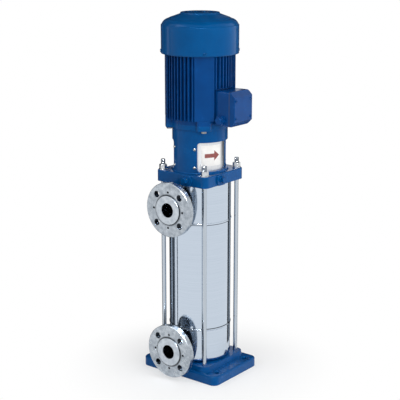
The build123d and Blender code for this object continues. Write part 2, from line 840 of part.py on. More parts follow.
with BuildPart() as shaft_sleeves:
    sleeve_feet = [stack_z + seal_face_gap] + [level + hub_top_rise for level in stage_levels]
    sleeve_tops = [level + blade_rise for level in stage_levels] + [rotating_ring_z]
    for foot_z, top_z in zip(sleeve_feet, sleeve_tops):
        with BuildSketch(Plane.XY.offset(foot_z)):
            Circle(hub_radius)
            Circle(hub_bore_radius, mode=Mode.SUBTRACT)
        extrude(amount=top_z - foot_z)
finish(shaft_sleeves, "shaft_sleeves")

# Shafts: they meet inside the coupling with a small gap
coupling_z = head_top_z + coupling_rise
coupling_middle_z = coupling_z + coupling_height / 2
with BuildPart() as pump_shaft:
    with BuildSketch(Plane.XY.offset(shaft_nut_z - shaft_tail)):
        Circle(pump_shaft_radius)
    extrude(amount=coupling_middle_z - shaft_end_gap / 2 - shaft_nut_z + shaft_tail)
    chamfer(pump_shaft.edges().filter_by(GeomType.CIRCLE), rod_chamfer)
finish(pump_shaft, "pump_shaft")

# Coupling: two clamping halves and the screws that draw them together
coupling_sides = (
    (1, Keep.TOP, "coupling_half_front"),
    (-1, Keep.BOTTOM, "coupling_half_rear"),
)
for turn, kept_side, name in coupling_sides:
    with BuildPart() as coupling_half:
        with BuildSketch(Plane.XY.offset(coupling_z)):
            Circle(coupling_radius)
        extrude(amount=coupling_height)
        fillet(coupling_half.edges().filter_by(GeomType.CIRCLE), coupling_rounding)
        with BuildSketch(Plane.XY.offset(coupling_z)):
            Circle(hub_bore_radius)
        extrude(amount=coupling_height / 2, mode=Mode.SUBTRACT)
        with BuildSketch(Plane.XY.offset(coupling_middle_z)):
            Circle(motor_shaft_radius + slip_fit)
        extrude(amount=coupling_height / 2, mode=Mode.SUBTRACT)
        split(bisect_by=Plane.XZ.offset(turn * coupling_split / 2), keep=kept_side)
        with BuildSketch(Plane.XZ):
            with Locations((0, coupling_middle_z)):
                with GridLocations(2 * coupling_screw_offset, coupling_height / 2, 2, 2):
                    Circle(coupling_screw_radius + slip_fit)
        extrude(amount=turn * coupling_radius, mode=Mode.SUBTRACT)
        with BuildSketch(Plane.XZ.offset(turn * coupling_screw_seat)):
            with Locations((0, coupling_middle_z)):
                with GridLocations(2 * coupling_screw_offset, coupling_height / 2, 2, 2):
                    Circle(coupling_screw_head_radius + slip_fit)
        extrude(amount=turn * coupling_radius, mode=Mode.SUBTRACT)
    finish(coupling_half, name)

with BuildPart() as coupling_screws:
    with BuildSketch(Plane.XZ.offset(coupling_screw_seat)):
        with Locations((0, coupling_middle_z)):
            with GridLocations(2 * coupling_screw_offset, coupling_height / 2, 2, 2):
                Circle(coupling_screw_radius)
    extrude(amount=-2 * coupling_screw_seat)
    with BuildSketch(Plane.XZ.offset(coupling_screw_seat)):
        with Locations((0, coupling_middle_z)):
            with GridLocations(2 * coupling_screw_offset, coupling_height / 2, 2, 2):
                Circle(coupling_screw_head_radius)
    extrude(amount=coupling_screw_head_height)
finish(coupling_screws, "coupling_screws")

# Motor shields: the plates that close the frame and hold the bearings
drive_bearing_z = motor_z + bearing_lip
with BuildPart() as drive_end_shield:
    with BuildSketch(Plane.XY.offset(motor_z)):
        add(lug_outline(lug_reach))
    extrude(amount=shield_thickness)
    with BuildSketch(Plane.XY.offset(frame_z)):
        Circle(frame_bore_radius - slip_fit)
        Circle(frame_bore_radius - frame_wall, mode=Mode.SUBTRACT)
    extrude(amount=spigot_depth)
    with BuildSketch(Plane.XY.offset(frame_z)):
        Circle(bearing_outer_radius + bearing_housing_wall)
    extrude(amount=drive_bearing_z + bearing_width - frame_z)
    with BuildSketch(Plane.XY.offset(drive_bearing_z)):
        Circle(bearing_outer_radius + slip_fit)
    extrude(amount=bearing_width, mode=Mode.SUBTRACT)
    with BuildSketch(Plane.XY.offset(motor_z)):
        Circle(bearing_bore_radius + bearing_lip_gap)
    extrude(amount=bearing_lip, mode=Mode.SUBTRACT)
    with BuildSketch(Plane.XY.offset(motor_z)):
        with PolarLocations(motor_bolt_circle / 2, 4, start_angle=45):
            Circle(motor_bolt_radius + rod_fit)
    extrude(amount=motor_bolt_reach, mode=Mode.SUBTRACT)
finish(drive_end_shield, "drive_end_shield")

fan_bearing_z = frame_top_z + fan_shield_thickness - bearing_lip - bearing_width
with BuildPart() as fan_end_shield:
    with BuildSketch(Plane.XY.offset(frame_top_z)):
        Circle(frame_bore_radius + frame_wall)
        with PolarLocations(cover_lug_reach / 2, 4, start_angle=45):
            Rectangle(cover_lug_reach, cover_lug_width)
        Circle(cover_lug_reach, mode=Mode.INTERSECT)
    extrude(amount=fan_shield_thickness)
    with BuildSketch(Plane.XY.offset(frame_top_z)):
        Circle(frame_bore_radius - slip_fit)
        Circle(frame_bore_radius - frame_wall, mode=Mode.SUBTRACT)
    extrude(amount=-spigot_depth)
    with BuildSketch(Plane.XY.offset(frame_top_z)):
        Circle(fan_bearing_outer_radius + bearing_housing_wall)
    extrude(amount=fan_bearing_z - frame_top_z - spigot_depth)
    with BuildSketch(Plane.XY.offset(fan_bearing_z - spigot_depth)):
        Circle(fan_bearing_outer_radius + slip_fit)
    extrude(amount=bearing_width + spigot_depth, mode=Mode.SUBTRACT)
    with BuildSketch(Plane.XY.offset(fan_bearing_z)):
        Circle(fan_bearing_bore_radius + bearing_lip_gap)
    extrude(amount=bearing_width + bearing_lip, mode=Mode.SUBTRACT)
    for corner in corner_angles:
        with BuildSketch(facing_plane(corner, cover_lug_reach)):
            with Locations((0, frame_top_z + cover_screw_rise)):
                Circle(cover_screw_radius + rod_fit)
        extrude(amount=-cover_screw_reach, mode=Mode.SUBTRACT)
finish(fan_end_shield, "fan_end_shield")

# Bearings, each held in its shield
drive_bore = bearing_bore_radius + running_fit
drive_end_bearing = tube(drive_bearing_z, bearing_width, bearing_outer_radius, drive_bore)
finish(drive_end_bearing, "drive_end_bearing")
fan_bore = fan_bearing_bore_radius + running_fit
fan_end_bearing = tube(fan_bearing_z, bearing_width, fan_bearing_outer_radius, fan_bore)
finish(fan_end_bearing, "fan_end_bearing")

# Motor frame: a die casting with straight fins on four sides and smooth strips at the corners
box_bottom_z = frame_z - box_drop
box_top_z = box_bottom_z + box_height
frame_outer_radius = frame_bore_radius + frame_wall
with BuildPart() as motor_frame:
    with BuildSketch(Plane.XY.offset(frame_z)):
        Circle(frame_outer_radius)
        with PolarLocations(0, 4):
            with GridLocations(1, fin_pitch, 1, 2 * fin_count_each_side + 1):
                Rectangle(fin_tip_radius, fin_thickness, align=(Align.MIN, Align.CENTER))
        with PolarLocations(corner_strip_reach / 2, 4, start_angle=45):
            Rectangle(corner_strip_reach, corner_strip_width)
        Circle(fin_tip_radius, mode=Mode.INTERSECT)
        Circle(frame_bore_radius, mode=Mode.SUBTRACT)
    extrude(amount=frame_length)
    with BuildSketch(Plane.YZ.offset(frame_outer_radius - frame_wall / 2)):
        with Locations((0, (frame_z + box_top_z + box_fin_gap) / 2)):
            Rectangle(fin_span, box_top_z + box_fin_gap - frame_z)
    extrude(amount=fin_tip_radius, mode=Mode.SUBTRACT)
    with BuildSketch(Plane.YZ.offset(frame_bore_radius * saddle_depth_share)):
        with Locations((0, (frame_z + box_top_z) / 2)):
            Rectangle(box_width, box_top_z - frame_z)
    extrude(amount=box_seat_distance - frame_bore_radius * saddle_depth_share)
    with BuildSketch(Plane.XY.offset(frame_z)):
        Circle(frame_bore_radius)
    extrude(amount=frame_length, mode=Mode.SUBTRACT)
finish(motor_frame, "motor_frame")

with BuildPart() as motor_bolts:
    with BuildSketch(Plane.XY.offset(motor_z - top_flange_thickness)):
        with PolarLocations(motor_bolt_circle / 2, 4, start_angle=45):
            Circle(motor_bolt_radius)
    extrude(amount=top_flange_thickness + motor_bolt_reach)
    with BuildSketch(Plane.XY.offset(motor_z - top_flange_thickness)):
        with PolarLocations(motor_bolt_circle / 2, 4, start_angle=45):
            RegularPolygon(hexagon_radius(motor_bolt_flats), 6)
    extrude(amount=-motor_bolt_head_height)
finish(motor_bolts, "motor_bolts")

# Stator, rotor and motor shaft
core_z = frame_z + (frame_length - rotor_length) / 2
stator_core = tube(core_z, rotor_length, frame_bore_radius - slip_fit, rotor_radius + air_gap)
finish(stator_core, "stator_core")
with BuildPart() as stator_windings:
    for level in (core_z - winding_height, core_z + rotor_length):
        with BuildSketch(Plane.XY.offset(level)):
            Circle(frame_bore_radius - winding_inset)
            Circle(rotor_radius + winding_inset, mode=Mode.SUBTRACT)
        extrude(amount=winding_height)
finish(stator_windings, "stator_windings")
rotor_core = tube(core_z, rotor_length, rotor_radius, rotor_seat_radius + slip_fit)
finish(rotor_core, "rotor_core")

fan_z = frame_top_z + fan_rise
with BuildPart() as motor_shaft:
    shaft_steps = (
        (coupling_middle_z + shaft_end_gap / 2, motor_shaft_radius),
        (motor_z, bearing_bore_radius),
        (drive_bearing_z + bearing_width, rotor_seat_radius),
        (fan_bearing_z, fan_bearing_bore_radius),
        (frame_top_z + fan_shield_thickness, fan_shaft_radius),
        (fan_z + fan_hub_height, 0),
    )
    for (foot_z, radius), (top_z, _) in zip(shaft_steps, shaft_steps[1:]):
        with BuildSketch(Plane.XY.offset(foot_z)):
            Circle(radius)
        extrude(amount=top_z - foot_z)
finish(motor_shaft, "motor_shaft")

# Cooling fan: a moulded hub and disc with straight blades
with BuildPart() as cooling_fan:
    with BuildSketch(Plane.XY.offset(fan_z)):
        Circle(fan_shaft_radius + fan_hub_wall)
        with PolarLocations((fan_radius + fan_shaft_radius) / 2, fan_blade_count):
            Rectangle(fan_radius - fan_shaft_radius, fan_blade_thickness)
    extrude(amount=fan_hub_height)
    with BuildSketch(Plane.XY.offset(fan_z)):
        Circle(fan_disc_radius)
    extrude(amount=fan_blade_thickness)
    with BuildSketch(Plane.XY.offset(fan_z)):
        Circle(fan_shaft_radius + slip_fit)
    extrude(amount=fan_hub_height, mode=Mode.SUBTRACT)
finish(cooling_fan, "cooling_fan")

# Fan cover: a deep-drawn steel hood with a stepped shoulder and an air grille
shoulder_z = cover_top_z - cover_shoulder_drop
shoulder_top_z = shoulder_z + cover_shoulder_rise


def cover_outline(inset):
    """Half profile of the hood, from its open rim to the axis, drawn inside its outer face."""
    rim = fan_cover_radius - inset
    with BuildSketch(Plane.XZ) as outline:
        with BuildLine():
            edge = Polyline(
                (0, frame_top_z),
                (rim, frame_top_z),
                (rim, shoulder_z - inset / 2),
                (rim - cover_step, shoulder_z + cover_step - inset / 2),
            )
            shoulder = RadiusArc(
                edge @ 1,
                (cover_inner_step_radius - inset / 2, shoulder_top_z - inset),
                -cover_shoulder_radius,
            )
            Polyline(
                shoulder @ 1,
                (cover_inner_step_radius - cover_step - inset / 2, shoulder_top_z + cover_step - inset),
                (cover_cap_radius - inset / 2, cover_top_z - cover_cap_rise - inset),
                (cover_cap_radius - cover_step - inset / 2, cover_top_z - inset),
                (0, cover_top_z - inset),
                (0, frame_top_z),
            )
        make_face()
    return outline.sketch


with BuildPart() as fan_cover:
    add(revolve(cover_outline(0), axis=Axis.Z, mode=Mode.PRIVATE))
    add(revolve(cover_outline(fan_cover_wall), axis=Axis.Z, mode=Mode.PRIVATE), mode=Mode.SUBTRACT)
    with BuildSketch(Plane.XY.offset(cover_top_z)):
        for ring in range(grille_ring_count, 0, -1):
            slot_radius = grille_pitch * ring
            Circle(slot_radius + grille_slot_width / 2)
            Circle(slot_radius - grille_slot_width / 2, mode=Mode.SUBTRACT)
        Rectangle(2 * cover_cap_radius, grille_bar, rotation=45, mode=Mode.SUBTRACT)
        Rectangle(2 * cover_cap_radius, grille_bar, rotation=-45, mode=Mode.SUBTRACT)
    extrude(amount=-2 * fan_cover_wall, mode=Mode.SUBTRACT)
    for corner in corner_angles:
        with BuildSketch(facing_plane(corner, 0)):
            with Locations((0, frame_top_z + cover_screw_rise)):
                Circle(cover_screw_radius + rod_fit)
        extrude(amount=2 * fan_cover_radius, mode=Mode.SUBTRACT)
finish(fan_cover, "fan_cover")

with BuildPart() as fan_cover_screws:
    for corner in corner_angles:
        with BuildSketch(facing_plane(corner, fan_cover_radius)):
            with Locations((0, frame_top_z + cover_screw_rise)):
                Circle(cover_screw_head_radius)
        extrude(amount=cover_screw_head_height)
        with BuildSketch(facing_plane(corner, fan_cover_radius)):
            with Locations((0, frame_top_z + cover_screw_rise)):
                Circle(cover_screw_radius)
        extrude(amount=-cover_screw_reach / 2)
finish(fan_cover_screws, "fan_cover_screws")

# Terminal box: base, gasket and lid, held by four screws near its sides
box_middle = (0, (box_bottom_z + box_top_z) / 2)
screw_spacing_y = box_width - 2 * lid_screw_inset_y
screw_spacing_z = box_height - 2 * lid_screw_inset_z
screw_post_radius = lid_screw_radius + box_wall
lid_seat_x = box_seat_distance + box_base_depth
lid_x = lid_seat_x + box_gasket
entry_spot = (box_seat_distance + entry_depth, box_bottom_z + entry_rise)


def box_outline(inset):
    """The box seen from the front, drawn inside its outer faces."""
    with BuildSketch() as outline:
        with Locations(box_middle):
            RectangleRounded(box_width - 2 * inset, box_height - 2 * inset, box_corner_radius - inset)
    return outline.sketch


def screw_circles(radius):
    """A circle round each of the four lid screws."""
    with BuildSketch() as circles:
        with Locations(box_middle):
            with GridLocations(screw_spacing_y, screw_spacing_z, 2, 2):
                Circle(radius)
    return circles.sketch


with BuildPart() as terminal_box:
    with BuildSketch(Plane.YZ.offset(box_seat_distance)):
        add(box_outline(0))
    extrude(amount=box_base_depth)
    with BuildSketch(Plane.XZ.offset(box_width / 2 + entry_boss_reach)):
        with Locations(entry_spot):
            Circle(entry_boss_radius)
    extrude(amount=-entry_boss_reach - box_wall)
    with BuildSketch(Plane.YZ.offset(box_seat_distance + box_wall)):
        add(box_outline(box_wall))
        add(screw_circles(screw_post_radius), mode=Mode.SUBTRACT)
    extrude(amount=box_base_depth, mode=Mode.SUBTRACT)
    with BuildSketch(Plane.YZ.offset(lid_seat_x)):
        add(screw_circles(lid_screw_radius + slip_fit))
    extrude(amount=-lid_screw_reach, mode=Mode.SUBTRACT)
    with BuildSketch(Plane.XZ.offset(box_width / 2 + entry_boss_reach)):
        with Locations(entry_spot):
            Circle(entry_radius + plug_fit)
    extrude(amount=-entry_boss_reach - 2 * box_wall, mode=Mode.SUBTRACT)
finish(terminal_box, "terminal_box")

with BuildPart() as terminal_box_gasket:
    with BuildSketch(Plane.YZ.offset(lid_seat_x)):
        add(box_outline(0))
        add(box_outline(box_wall), mode=Mode.SUBTRACT)
        add(screw_circles(screw_post_radius))
        add(screw_circles(lid_screw_radius + slip_fit), mode=Mode.SUBTRACT)
    extrude(amount=box_gasket)
finish(terminal_box_gasket, "terminal_box_gasket")


def lid_form(inset):
    """The lid with its sloped bands above and below, drawn inside its outer faces."""
    front_x = lid_x + box_lid_depth - inset
    low_z = box_bottom_z + inset
    high_z = box_top_z - inset
    bend = inset * (sqrt(2) - 1)
    edge_x = lid_x + box_lid_edge - bend
    slope = front_x - edge_x
    with BuildPart() as form:
        with BuildSketch(Plane.XZ):
            with BuildLine():
                Polyline(
                    (lid_x, low_z),
                    (edge_x, low_z),
                    (front_x, low_z + slope),
                    (front_x, high_z - slope),
                    (edge_x, high_z),
                    (lid_x, high_z),
                    close=True,
                )
            make_face()
        extrude(amount=box_width / 2, both=True)
        with BuildSketch(Plane.YZ.offset(lid_x)):
            add(box_outline(inset))
        extrude(amount=box_lid_depth, mode=Mode.INTERSECT)
    return form.part


with BuildPart() as terminal_box_lid:
    add(lid_form(0))
    fillet(terminal_box_lid.faces().sort_by(Axis.X)[-1].edges(), box_lid_rounding)
    add(lid_form(box_wall), mode=Mode.SUBTRACT)
    with BuildSketch(Plane.YZ.offset(lid_x)):
        add(screw_circles(screw_post_radius))
    extrude(amount=box_lid_depth)
    with BuildSketch(Plane.YZ.offset(lid_x)):
        add(screw_circles(lid_screw_radius + slip_fit))
    extrude(amount=box_lid_depth, mode=Mode.SUBTRACT)
finish(terminal_box_lid, "terminal_box_lid")

with BuildPart() as lid_screws:
    with BuildSketch(Plane.YZ.offset(lid_x + box_lid_depth)):
        add(screw_circles(lid_screw_radius))
    extrude(amount=-box_lid_depth - box_gasket - lid_screw_reach)
    with BuildSketch(Plane.YZ.offset(lid_x + box_lid_depth)):
        add(screw_circles(lid_screw_head_radius))
    extrude(amount=lid_screw_head_height)
finish(lid_screws, "lid_screws")

entry_face = Plane.XZ.offset(box_width / 2 + entry_boss_reach)
with BuildPart() as cable_entry_plug:
    with BuildSketch(entry_face):
        with Locations(entry_spot):
            Circle(entry_radius)
    extrude(amount=-entry_boss_reach - box_wall)
    with BuildSketch(entry_face):
        with Locations(entry_spot):
            RegularPolygon(hexagon_radius(entry_flats), 6)
    extrude(amount=entry_hex_height)
    with BuildSketch(entry_face.offset(entry_hex_height)):
        with Locations(entry_spot):
            Circle(entry_radius)
    extrude(amount=entry_cap_height)
    fillet(cable_entry_plug.faces().sort_by(Axis.Y)[0].edges(), entry_cap_height / 2)
finish(cable_entry_plug, "cable_entry_plug")

with BuildPart() as terminal_board:
    with BuildSketch(Plane.YZ.offset(box_seat_distance + box_wall)):
        with Locations(box_middle):
            Rectangle(terminal_board_width, terminal_board_height)
    extrude(amount=terminal_board_thickness)
    with BuildSketch(Plane.YZ.offset(box_seat_distance + box_wall + terminal_board_thickness)):
        with Locations(box_middle):
            with GridLocations(terminal_board_width / 3, terminal_board_height / 2, 3, 2):
                Circle(terminal_stud_radius)
    extrude(amount=terminal_stud_height)
finish(terminal_board, "terminal_board")
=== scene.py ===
"""Looks of the vertical multistage pump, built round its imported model.

Metres, in the part's own frame: +Z is up along the shaft, -Y is the side of both ports, and +X is
the side of the terminal box. Every section makes or finishes one piece or one group of like pieces.
"""

from math import atan2, cos, pi, radians, sin, sqrt, tan

import bpy
from mathutils import Matrix, Vector


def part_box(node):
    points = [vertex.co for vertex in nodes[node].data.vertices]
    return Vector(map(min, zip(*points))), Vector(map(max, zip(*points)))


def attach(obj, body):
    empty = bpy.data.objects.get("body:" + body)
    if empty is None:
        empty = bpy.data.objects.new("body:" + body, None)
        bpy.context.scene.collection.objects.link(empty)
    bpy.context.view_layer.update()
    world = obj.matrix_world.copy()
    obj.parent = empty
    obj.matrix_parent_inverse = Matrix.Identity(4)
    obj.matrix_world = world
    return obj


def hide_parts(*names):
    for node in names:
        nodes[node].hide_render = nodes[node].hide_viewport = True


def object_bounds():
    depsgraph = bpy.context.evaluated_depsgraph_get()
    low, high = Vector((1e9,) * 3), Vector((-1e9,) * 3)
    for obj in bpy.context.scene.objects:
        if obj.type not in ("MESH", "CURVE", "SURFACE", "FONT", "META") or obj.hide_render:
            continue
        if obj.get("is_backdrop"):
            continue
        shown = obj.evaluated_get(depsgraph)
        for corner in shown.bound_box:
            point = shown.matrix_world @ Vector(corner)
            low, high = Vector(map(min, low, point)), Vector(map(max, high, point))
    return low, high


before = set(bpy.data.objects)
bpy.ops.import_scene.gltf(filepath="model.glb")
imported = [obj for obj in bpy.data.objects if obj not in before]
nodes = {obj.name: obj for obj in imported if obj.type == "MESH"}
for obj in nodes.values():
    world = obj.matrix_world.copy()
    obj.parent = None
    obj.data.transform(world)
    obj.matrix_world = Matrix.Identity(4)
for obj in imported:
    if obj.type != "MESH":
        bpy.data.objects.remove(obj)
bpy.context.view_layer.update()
bpy.ops.object.select_all(action="DESELECT")


# Base plate. Grey cast iron, machined on the seat, then sprayed with a thick gloss enamel.
# The enamel flows over the sand skin, so it shines in soft, slightly lumpy patches.

MM = 0.001
ENAMEL_PATCH = 45 * MM
SAND_SKIN = 5 * MM  # the real grain is about 1 mm, drawn coarser so that it shows


def colour(hex_code):
    """An sRGB hex code as the linear colour that a shader takes."""
    channels = [int(hex_code[i : i + 2], 16) / 255 for i in (1, 3, 5)]
    linear = [c / 12.92 if c <= 0.04045 else ((c + 0.055) / 1.055) ** 2.4 for c in channels]
    return (*linear, 1)


def add_node(tree, kind, inputs=None, **settings):
    """Adds one node, sets it up, and feeds its inputs from values or from other nodes' outputs."""
    node = tree.nodes.new(kind)
    for name, value in settings.items():
        setattr(node, name, value)
    for name, value in (inputs or {}).items():
        if isinstance(value, bpy.types.NodeSocket):
            tree.links.new(value, node.inputs[name])
        else:
            node.inputs[name].default_value = value
    return node


def new_material(name):
    """An empty node material with its output, its node tree, and the place on the piece."""
    material = bpy.data.materials.new(name)
    material.use_nodes = True
    tree = material.node_tree
    tree.nodes.clear()
    add_node(tree, "ShaderNodeOutputMaterial")
    return material, tree, add_node(tree, "ShaderNodeTexCoord").outputs["Object"]


def mottle(tree, place, dark, light, scale, detail):
    """Noise at a scale per metre, and the tone that follows it from a dark colour to a light one."""
    noise = add_node(tree, "ShaderNodeTexNoise", {"Vector": place, "Scale": scale, "Detail": detail})
    tone = add_node(
        tree,
        "ShaderNodeMix",
        {"Factor": noise.outputs["Fac"], "A": colour(dark), "B": colour(light)},
        data_type="RGBA",
    )
    return noise.outputs["Fac"], tone.outputs["Result"]


def finish_surface(tree, shader):
    """Feeds the material's output from the shader."""
    tree.links.new(shader.outputs[0], tree.nodes["Material Output"].inputs["Surface"])


def wear(material, *names):
    """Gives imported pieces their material."""
    for name in names:
        slots = nodes[name].data.materials
        slots.clear()
        slots.append(material)


def enamel(name, light, shade, grain, depth, roughness, edge_radius):
    """Gloss enamel: two close shades in broad patches over the skin of the metal beneath."""
    material, tree, place = new_material(name)
    patches, tone = mottle(tree, place, shade, light, scale=1 / ENAMEL_PATCH, detail=2.0)
    skin = add_node(tree, "ShaderNodeTexNoise", {"Vector": place, "Scale": 1 / grain, "Detail": 3.0})
    edge = add_node(tree, "ShaderNodeBevel", {"Radius": edge_radius}, samples=8)
    bump = add_node(
        tree,
        "ShaderNodeBump",
        {"Strength": 0.5, "Distance": depth, "Height": skin.outputs["Fac"], "Normal": edge.outputs[0]},
    )
    shine = add_node(
        tree,
        "ShaderNodeMapRange",
        {"Value": patches, "To Min": roughness - 0.05, "To Max": roughness + 0.05},
    )
    shader = add_node(
        tree,
        "ShaderNodeBsdfPrincipled",
        {
            "Base Color": tone,
            "Roughness": shine.outputs[0],
            "Specular IOR Level": 0.3,
            "Specular Tint": colour("#3F86D0"),
            "Coat Weight": 0.12,
            "Coat Roughness": 0.05,
            "Normal": bump.outputs[0],
        },
    )
    finish_surface(tree, shader)
    return material


iron_enamel = enamel(
    "gloss_enamel_on_cast_iron",
    light="#00508F",
    shade="#00427B",
    grain=SAND_SKIN,
    depth=0.12 * MM,
    roughness=0.26,
    edge_radius=2 * MM,
)
wear(iron_enamel, "base_plate")


# Suction casing, outer sleeve and discharge casing. Pressed and rolled stainless sheet, polished
# to a mirror round the axis, so that faint lines run round the tube and stretch every reflection.

POLISH_LINE = 1.6 * MM  # far finer in fact, drawn as wide as it needs to show
POLISH_LINES_PER_METRE = (8, 8, 1 / POLISH_LINE)
POLISH_ROUGHNESS = 0.09
SHEET_WAVE = 70 * MM
COLLAR_CLOUD = 13 * MM
COLLAR_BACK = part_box("suction_casing")[0].y + 3.1 * MM
TURNING_PITCH = 2.4 * MM  # a fifth of this in fact, drawn coarser so that the rings show
JOINT_DARK = 0.4 * MM
JOINT_SHADED = 1.6 * MM
sleeve_low, sleeve_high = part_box("outer_sleeve")


def rings_round(tree, place, port_height):
    """The distance from a port's axis at that height, and a wave for the lathe's rings round it."""
    centred = add_node(
        tree,
        "ShaderNodeMapping",
        {"Vector": place, "Location": (0, 0, -port_height), "Scale": (1, 0, 1)},
    )
    distance = add_node(tree, "ShaderNodeVectorMath", {0: centred.outputs[0]}, operation="LENGTH")
    turn = add_node(
        tree,
        "ShaderNodeMath",
        {0: distance.outputs["Value"], 1: 2 * pi / TURNING_PITCH},
        operation="MULTIPLY",
    )
    rings = add_node(tree, "ShaderNodeMath", {0: turn.outputs[0]}, operation="SINE")
    return distance.outputs["Value"], rings.outputs[0]


def painted_joint_shade(tree, place):
    """Painted shade: one along the joints between the sleeve and both casings, falling to nought beside
    them.
    """
    height = add_node(tree, "ShaderNodeSeparateXYZ", {"Vector": place}).outputs["Z"]
    distances = []
    for joint in (sleeve_high.z, sleeve_low.z):
        past = add_node(tree, "ShaderNodeMath", {0: height, 1: joint}, operation="SUBTRACT")
        distances.append(add_node(tree, "ShaderNodeMath", {0: past.outputs[0]}, operation="ABSOLUTE"))
    nearest = add_node(
        tree,
        "ShaderNodeMath",
        {number: distance.outputs[0] for number, distance in enumerate(distances)},
        operation="MINIMUM",
    )
    shade = add_node(
        tree,
        "ShaderNodeMapRange",
        {
            "Value": nearest.outputs[0],
            "From Min": JOINT_DARK,
            "From Max": JOINT_SHADED,
            "To Min": 1.0,
            "To Max": 0.0,
        },
    )
    return shade.outputs[0]


def polished_steel(name, port_height):
    """Polished stainless steel with lines round the shaft, a collar turned round its port, and painted
    shade at its joints.
    """
    material, tree, place = new_material(name)
    flattened = add_node(tree, "ShaderNodeMapping", {"Vector": place, "Scale": POLISH_LINES_PER_METRE})
    lines, sheet_tone = mottle(tree, flattened.outputs[0], "#BCC8D6", "#CBD6E3", scale=1.0, detail=4.0)
    sheet_shine = add_node(
        tree,
        "ShaderNodeMapRange",
        {"Value": lines, "To Min": 0.6 * POLISH_ROUGHNESS, "To Max": 1.4 * POLISH_ROUGHNESS},
    )

    depth = add_node(tree, "ShaderNodeSeparateXYZ", {"Vector": place}).outputs["Y"]
    collar = add_node(tree, "ShaderNodeMath", {0: depth, 1: COLLAR_BACK}, operation="LESS_THAN").outputs[0]
    turned_tone = mottle(tree, place, "#8B96A3", "#DFE6EC", scale=1 / COLLAR_CLOUD, detail=3.0)[1]
    unshaded_tone = add_node(
        tree,
        "ShaderNodeMix",
        {"Factor": collar, "A": sheet_tone, "B": turned_tone},
        data_type="RGBA",
    )
    # Painted shade darkens the steel along the joints with the sleeve.
    tone = add_node(
        tree,
        "ShaderNodeMix",
        {"Factor": painted_joint_shade(tree, place), "A": unshaded_tone.outputs["Result"], "B": colour("#3A414A")},
        data_type="RGBA",
    )
    shine = add_node(
        tree,
        "ShaderNodeMath",
        {0: collar, 1: 0.2, 2: sheet_shine.outputs[0]},
        operation="MULTIPLY_ADD",
    )

    edge = add_node(tree, "ShaderNodeBevel", {"Radius": 0.6 * MM}, samples=4)
    waves = add_node(tree, "ShaderNodeTexNoise", {"Vector": place, "Scale": 1 / SHEET_WAVE, "Detail": 1.0})
    wave_bump = add_node(
        tree,
        "ShaderNodeBump",
        {
            "Strength": 0.35,
            "Distance": 0.25 * MM,
            "Height": waves.outputs["Fac"],
            "Normal": edge.outputs[0],
        },
    )
    rings = rings_round(tree, place, port_height)[1]
    ring_height = add_node(tree, "ShaderNodeMath", {0: collar, 1: rings}, operation="MULTIPLY")
    ring_bump = add_node(
        tree,
        "ShaderNodeBump",
        {
            "Strength": 0.5,
            "Distance": 0.1 * MM,
            "Height": ring_height.outputs[0],
            "Normal": wave_bump.outputs[0],
        },
    )
    shader = add_node(
        tree,
        "ShaderNodeBsdfPrincipled",
        {
            "Base Color": tone.outputs["Result"],
            "Metallic": 1.0,
            "Roughness": shine.outputs[0],
            "Normal": ring_bump.outputs[0],
        },
    )
    finish_surface(tree, shader)
    return material


for port in ("suction", "discharge"):
    low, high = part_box(f"{port}_flange")
    casing_steel = polished_steel(f"polished_stainless_of_{port}_casing", (low.z + high.z) / 2)
    wear(casing_steel, f"{port}_casing")
wear(casing_steel, "outer_sleeve")


# Casing seals. Moulded rubber rings, black and matt, squeezed flat in the grooves of the spigots.
# Only a cut shows them, with the fine bloom that such rubber has.

BLOOM = 6 * MM


def moulded(name, dark, light, grain, detail, roughness):
    """Moulded rubber or plastic with the shallow grain that its mould gives it."""
    material, tree, place = new_material(name)
    skin, tone = mottle(tree, place, dark, light, scale=1 / grain, detail=detail)
    bump = add_node(tree, "ShaderNodeBump", {"Strength": 0.3, "Distance": 0.05 * MM, "Height": skin})
    shader = add_node(
        tree,
        "ShaderNodeBsdfPrincipled",
        {"Base Color": tone, "Roughness": roughness, "Normal": bump.outputs[0]},
    )
    finish_surface(tree, shader)
    return material


rubber = moulded("moulded_black_rubber", "#17181A", "#26282B", grain=BLOOM, detail=3.0, roughness=0.75)
wear(rubber, "casing_seals", "terminal_box_gasket")


# Loose flanges. Cast stainless steel, blasted on the back, and turned on the front and the rim.
# The lathe leaves fine rings round the port, and the casting keeps a slightly cloudy grey.

CAST_CLOUD = 11 * MM
COLLAR_RADIUS = 39.5 * MM
CORNER_SHADE_REACH = 7 * MM
HOLE_SHADE_REACH = 22 * MM


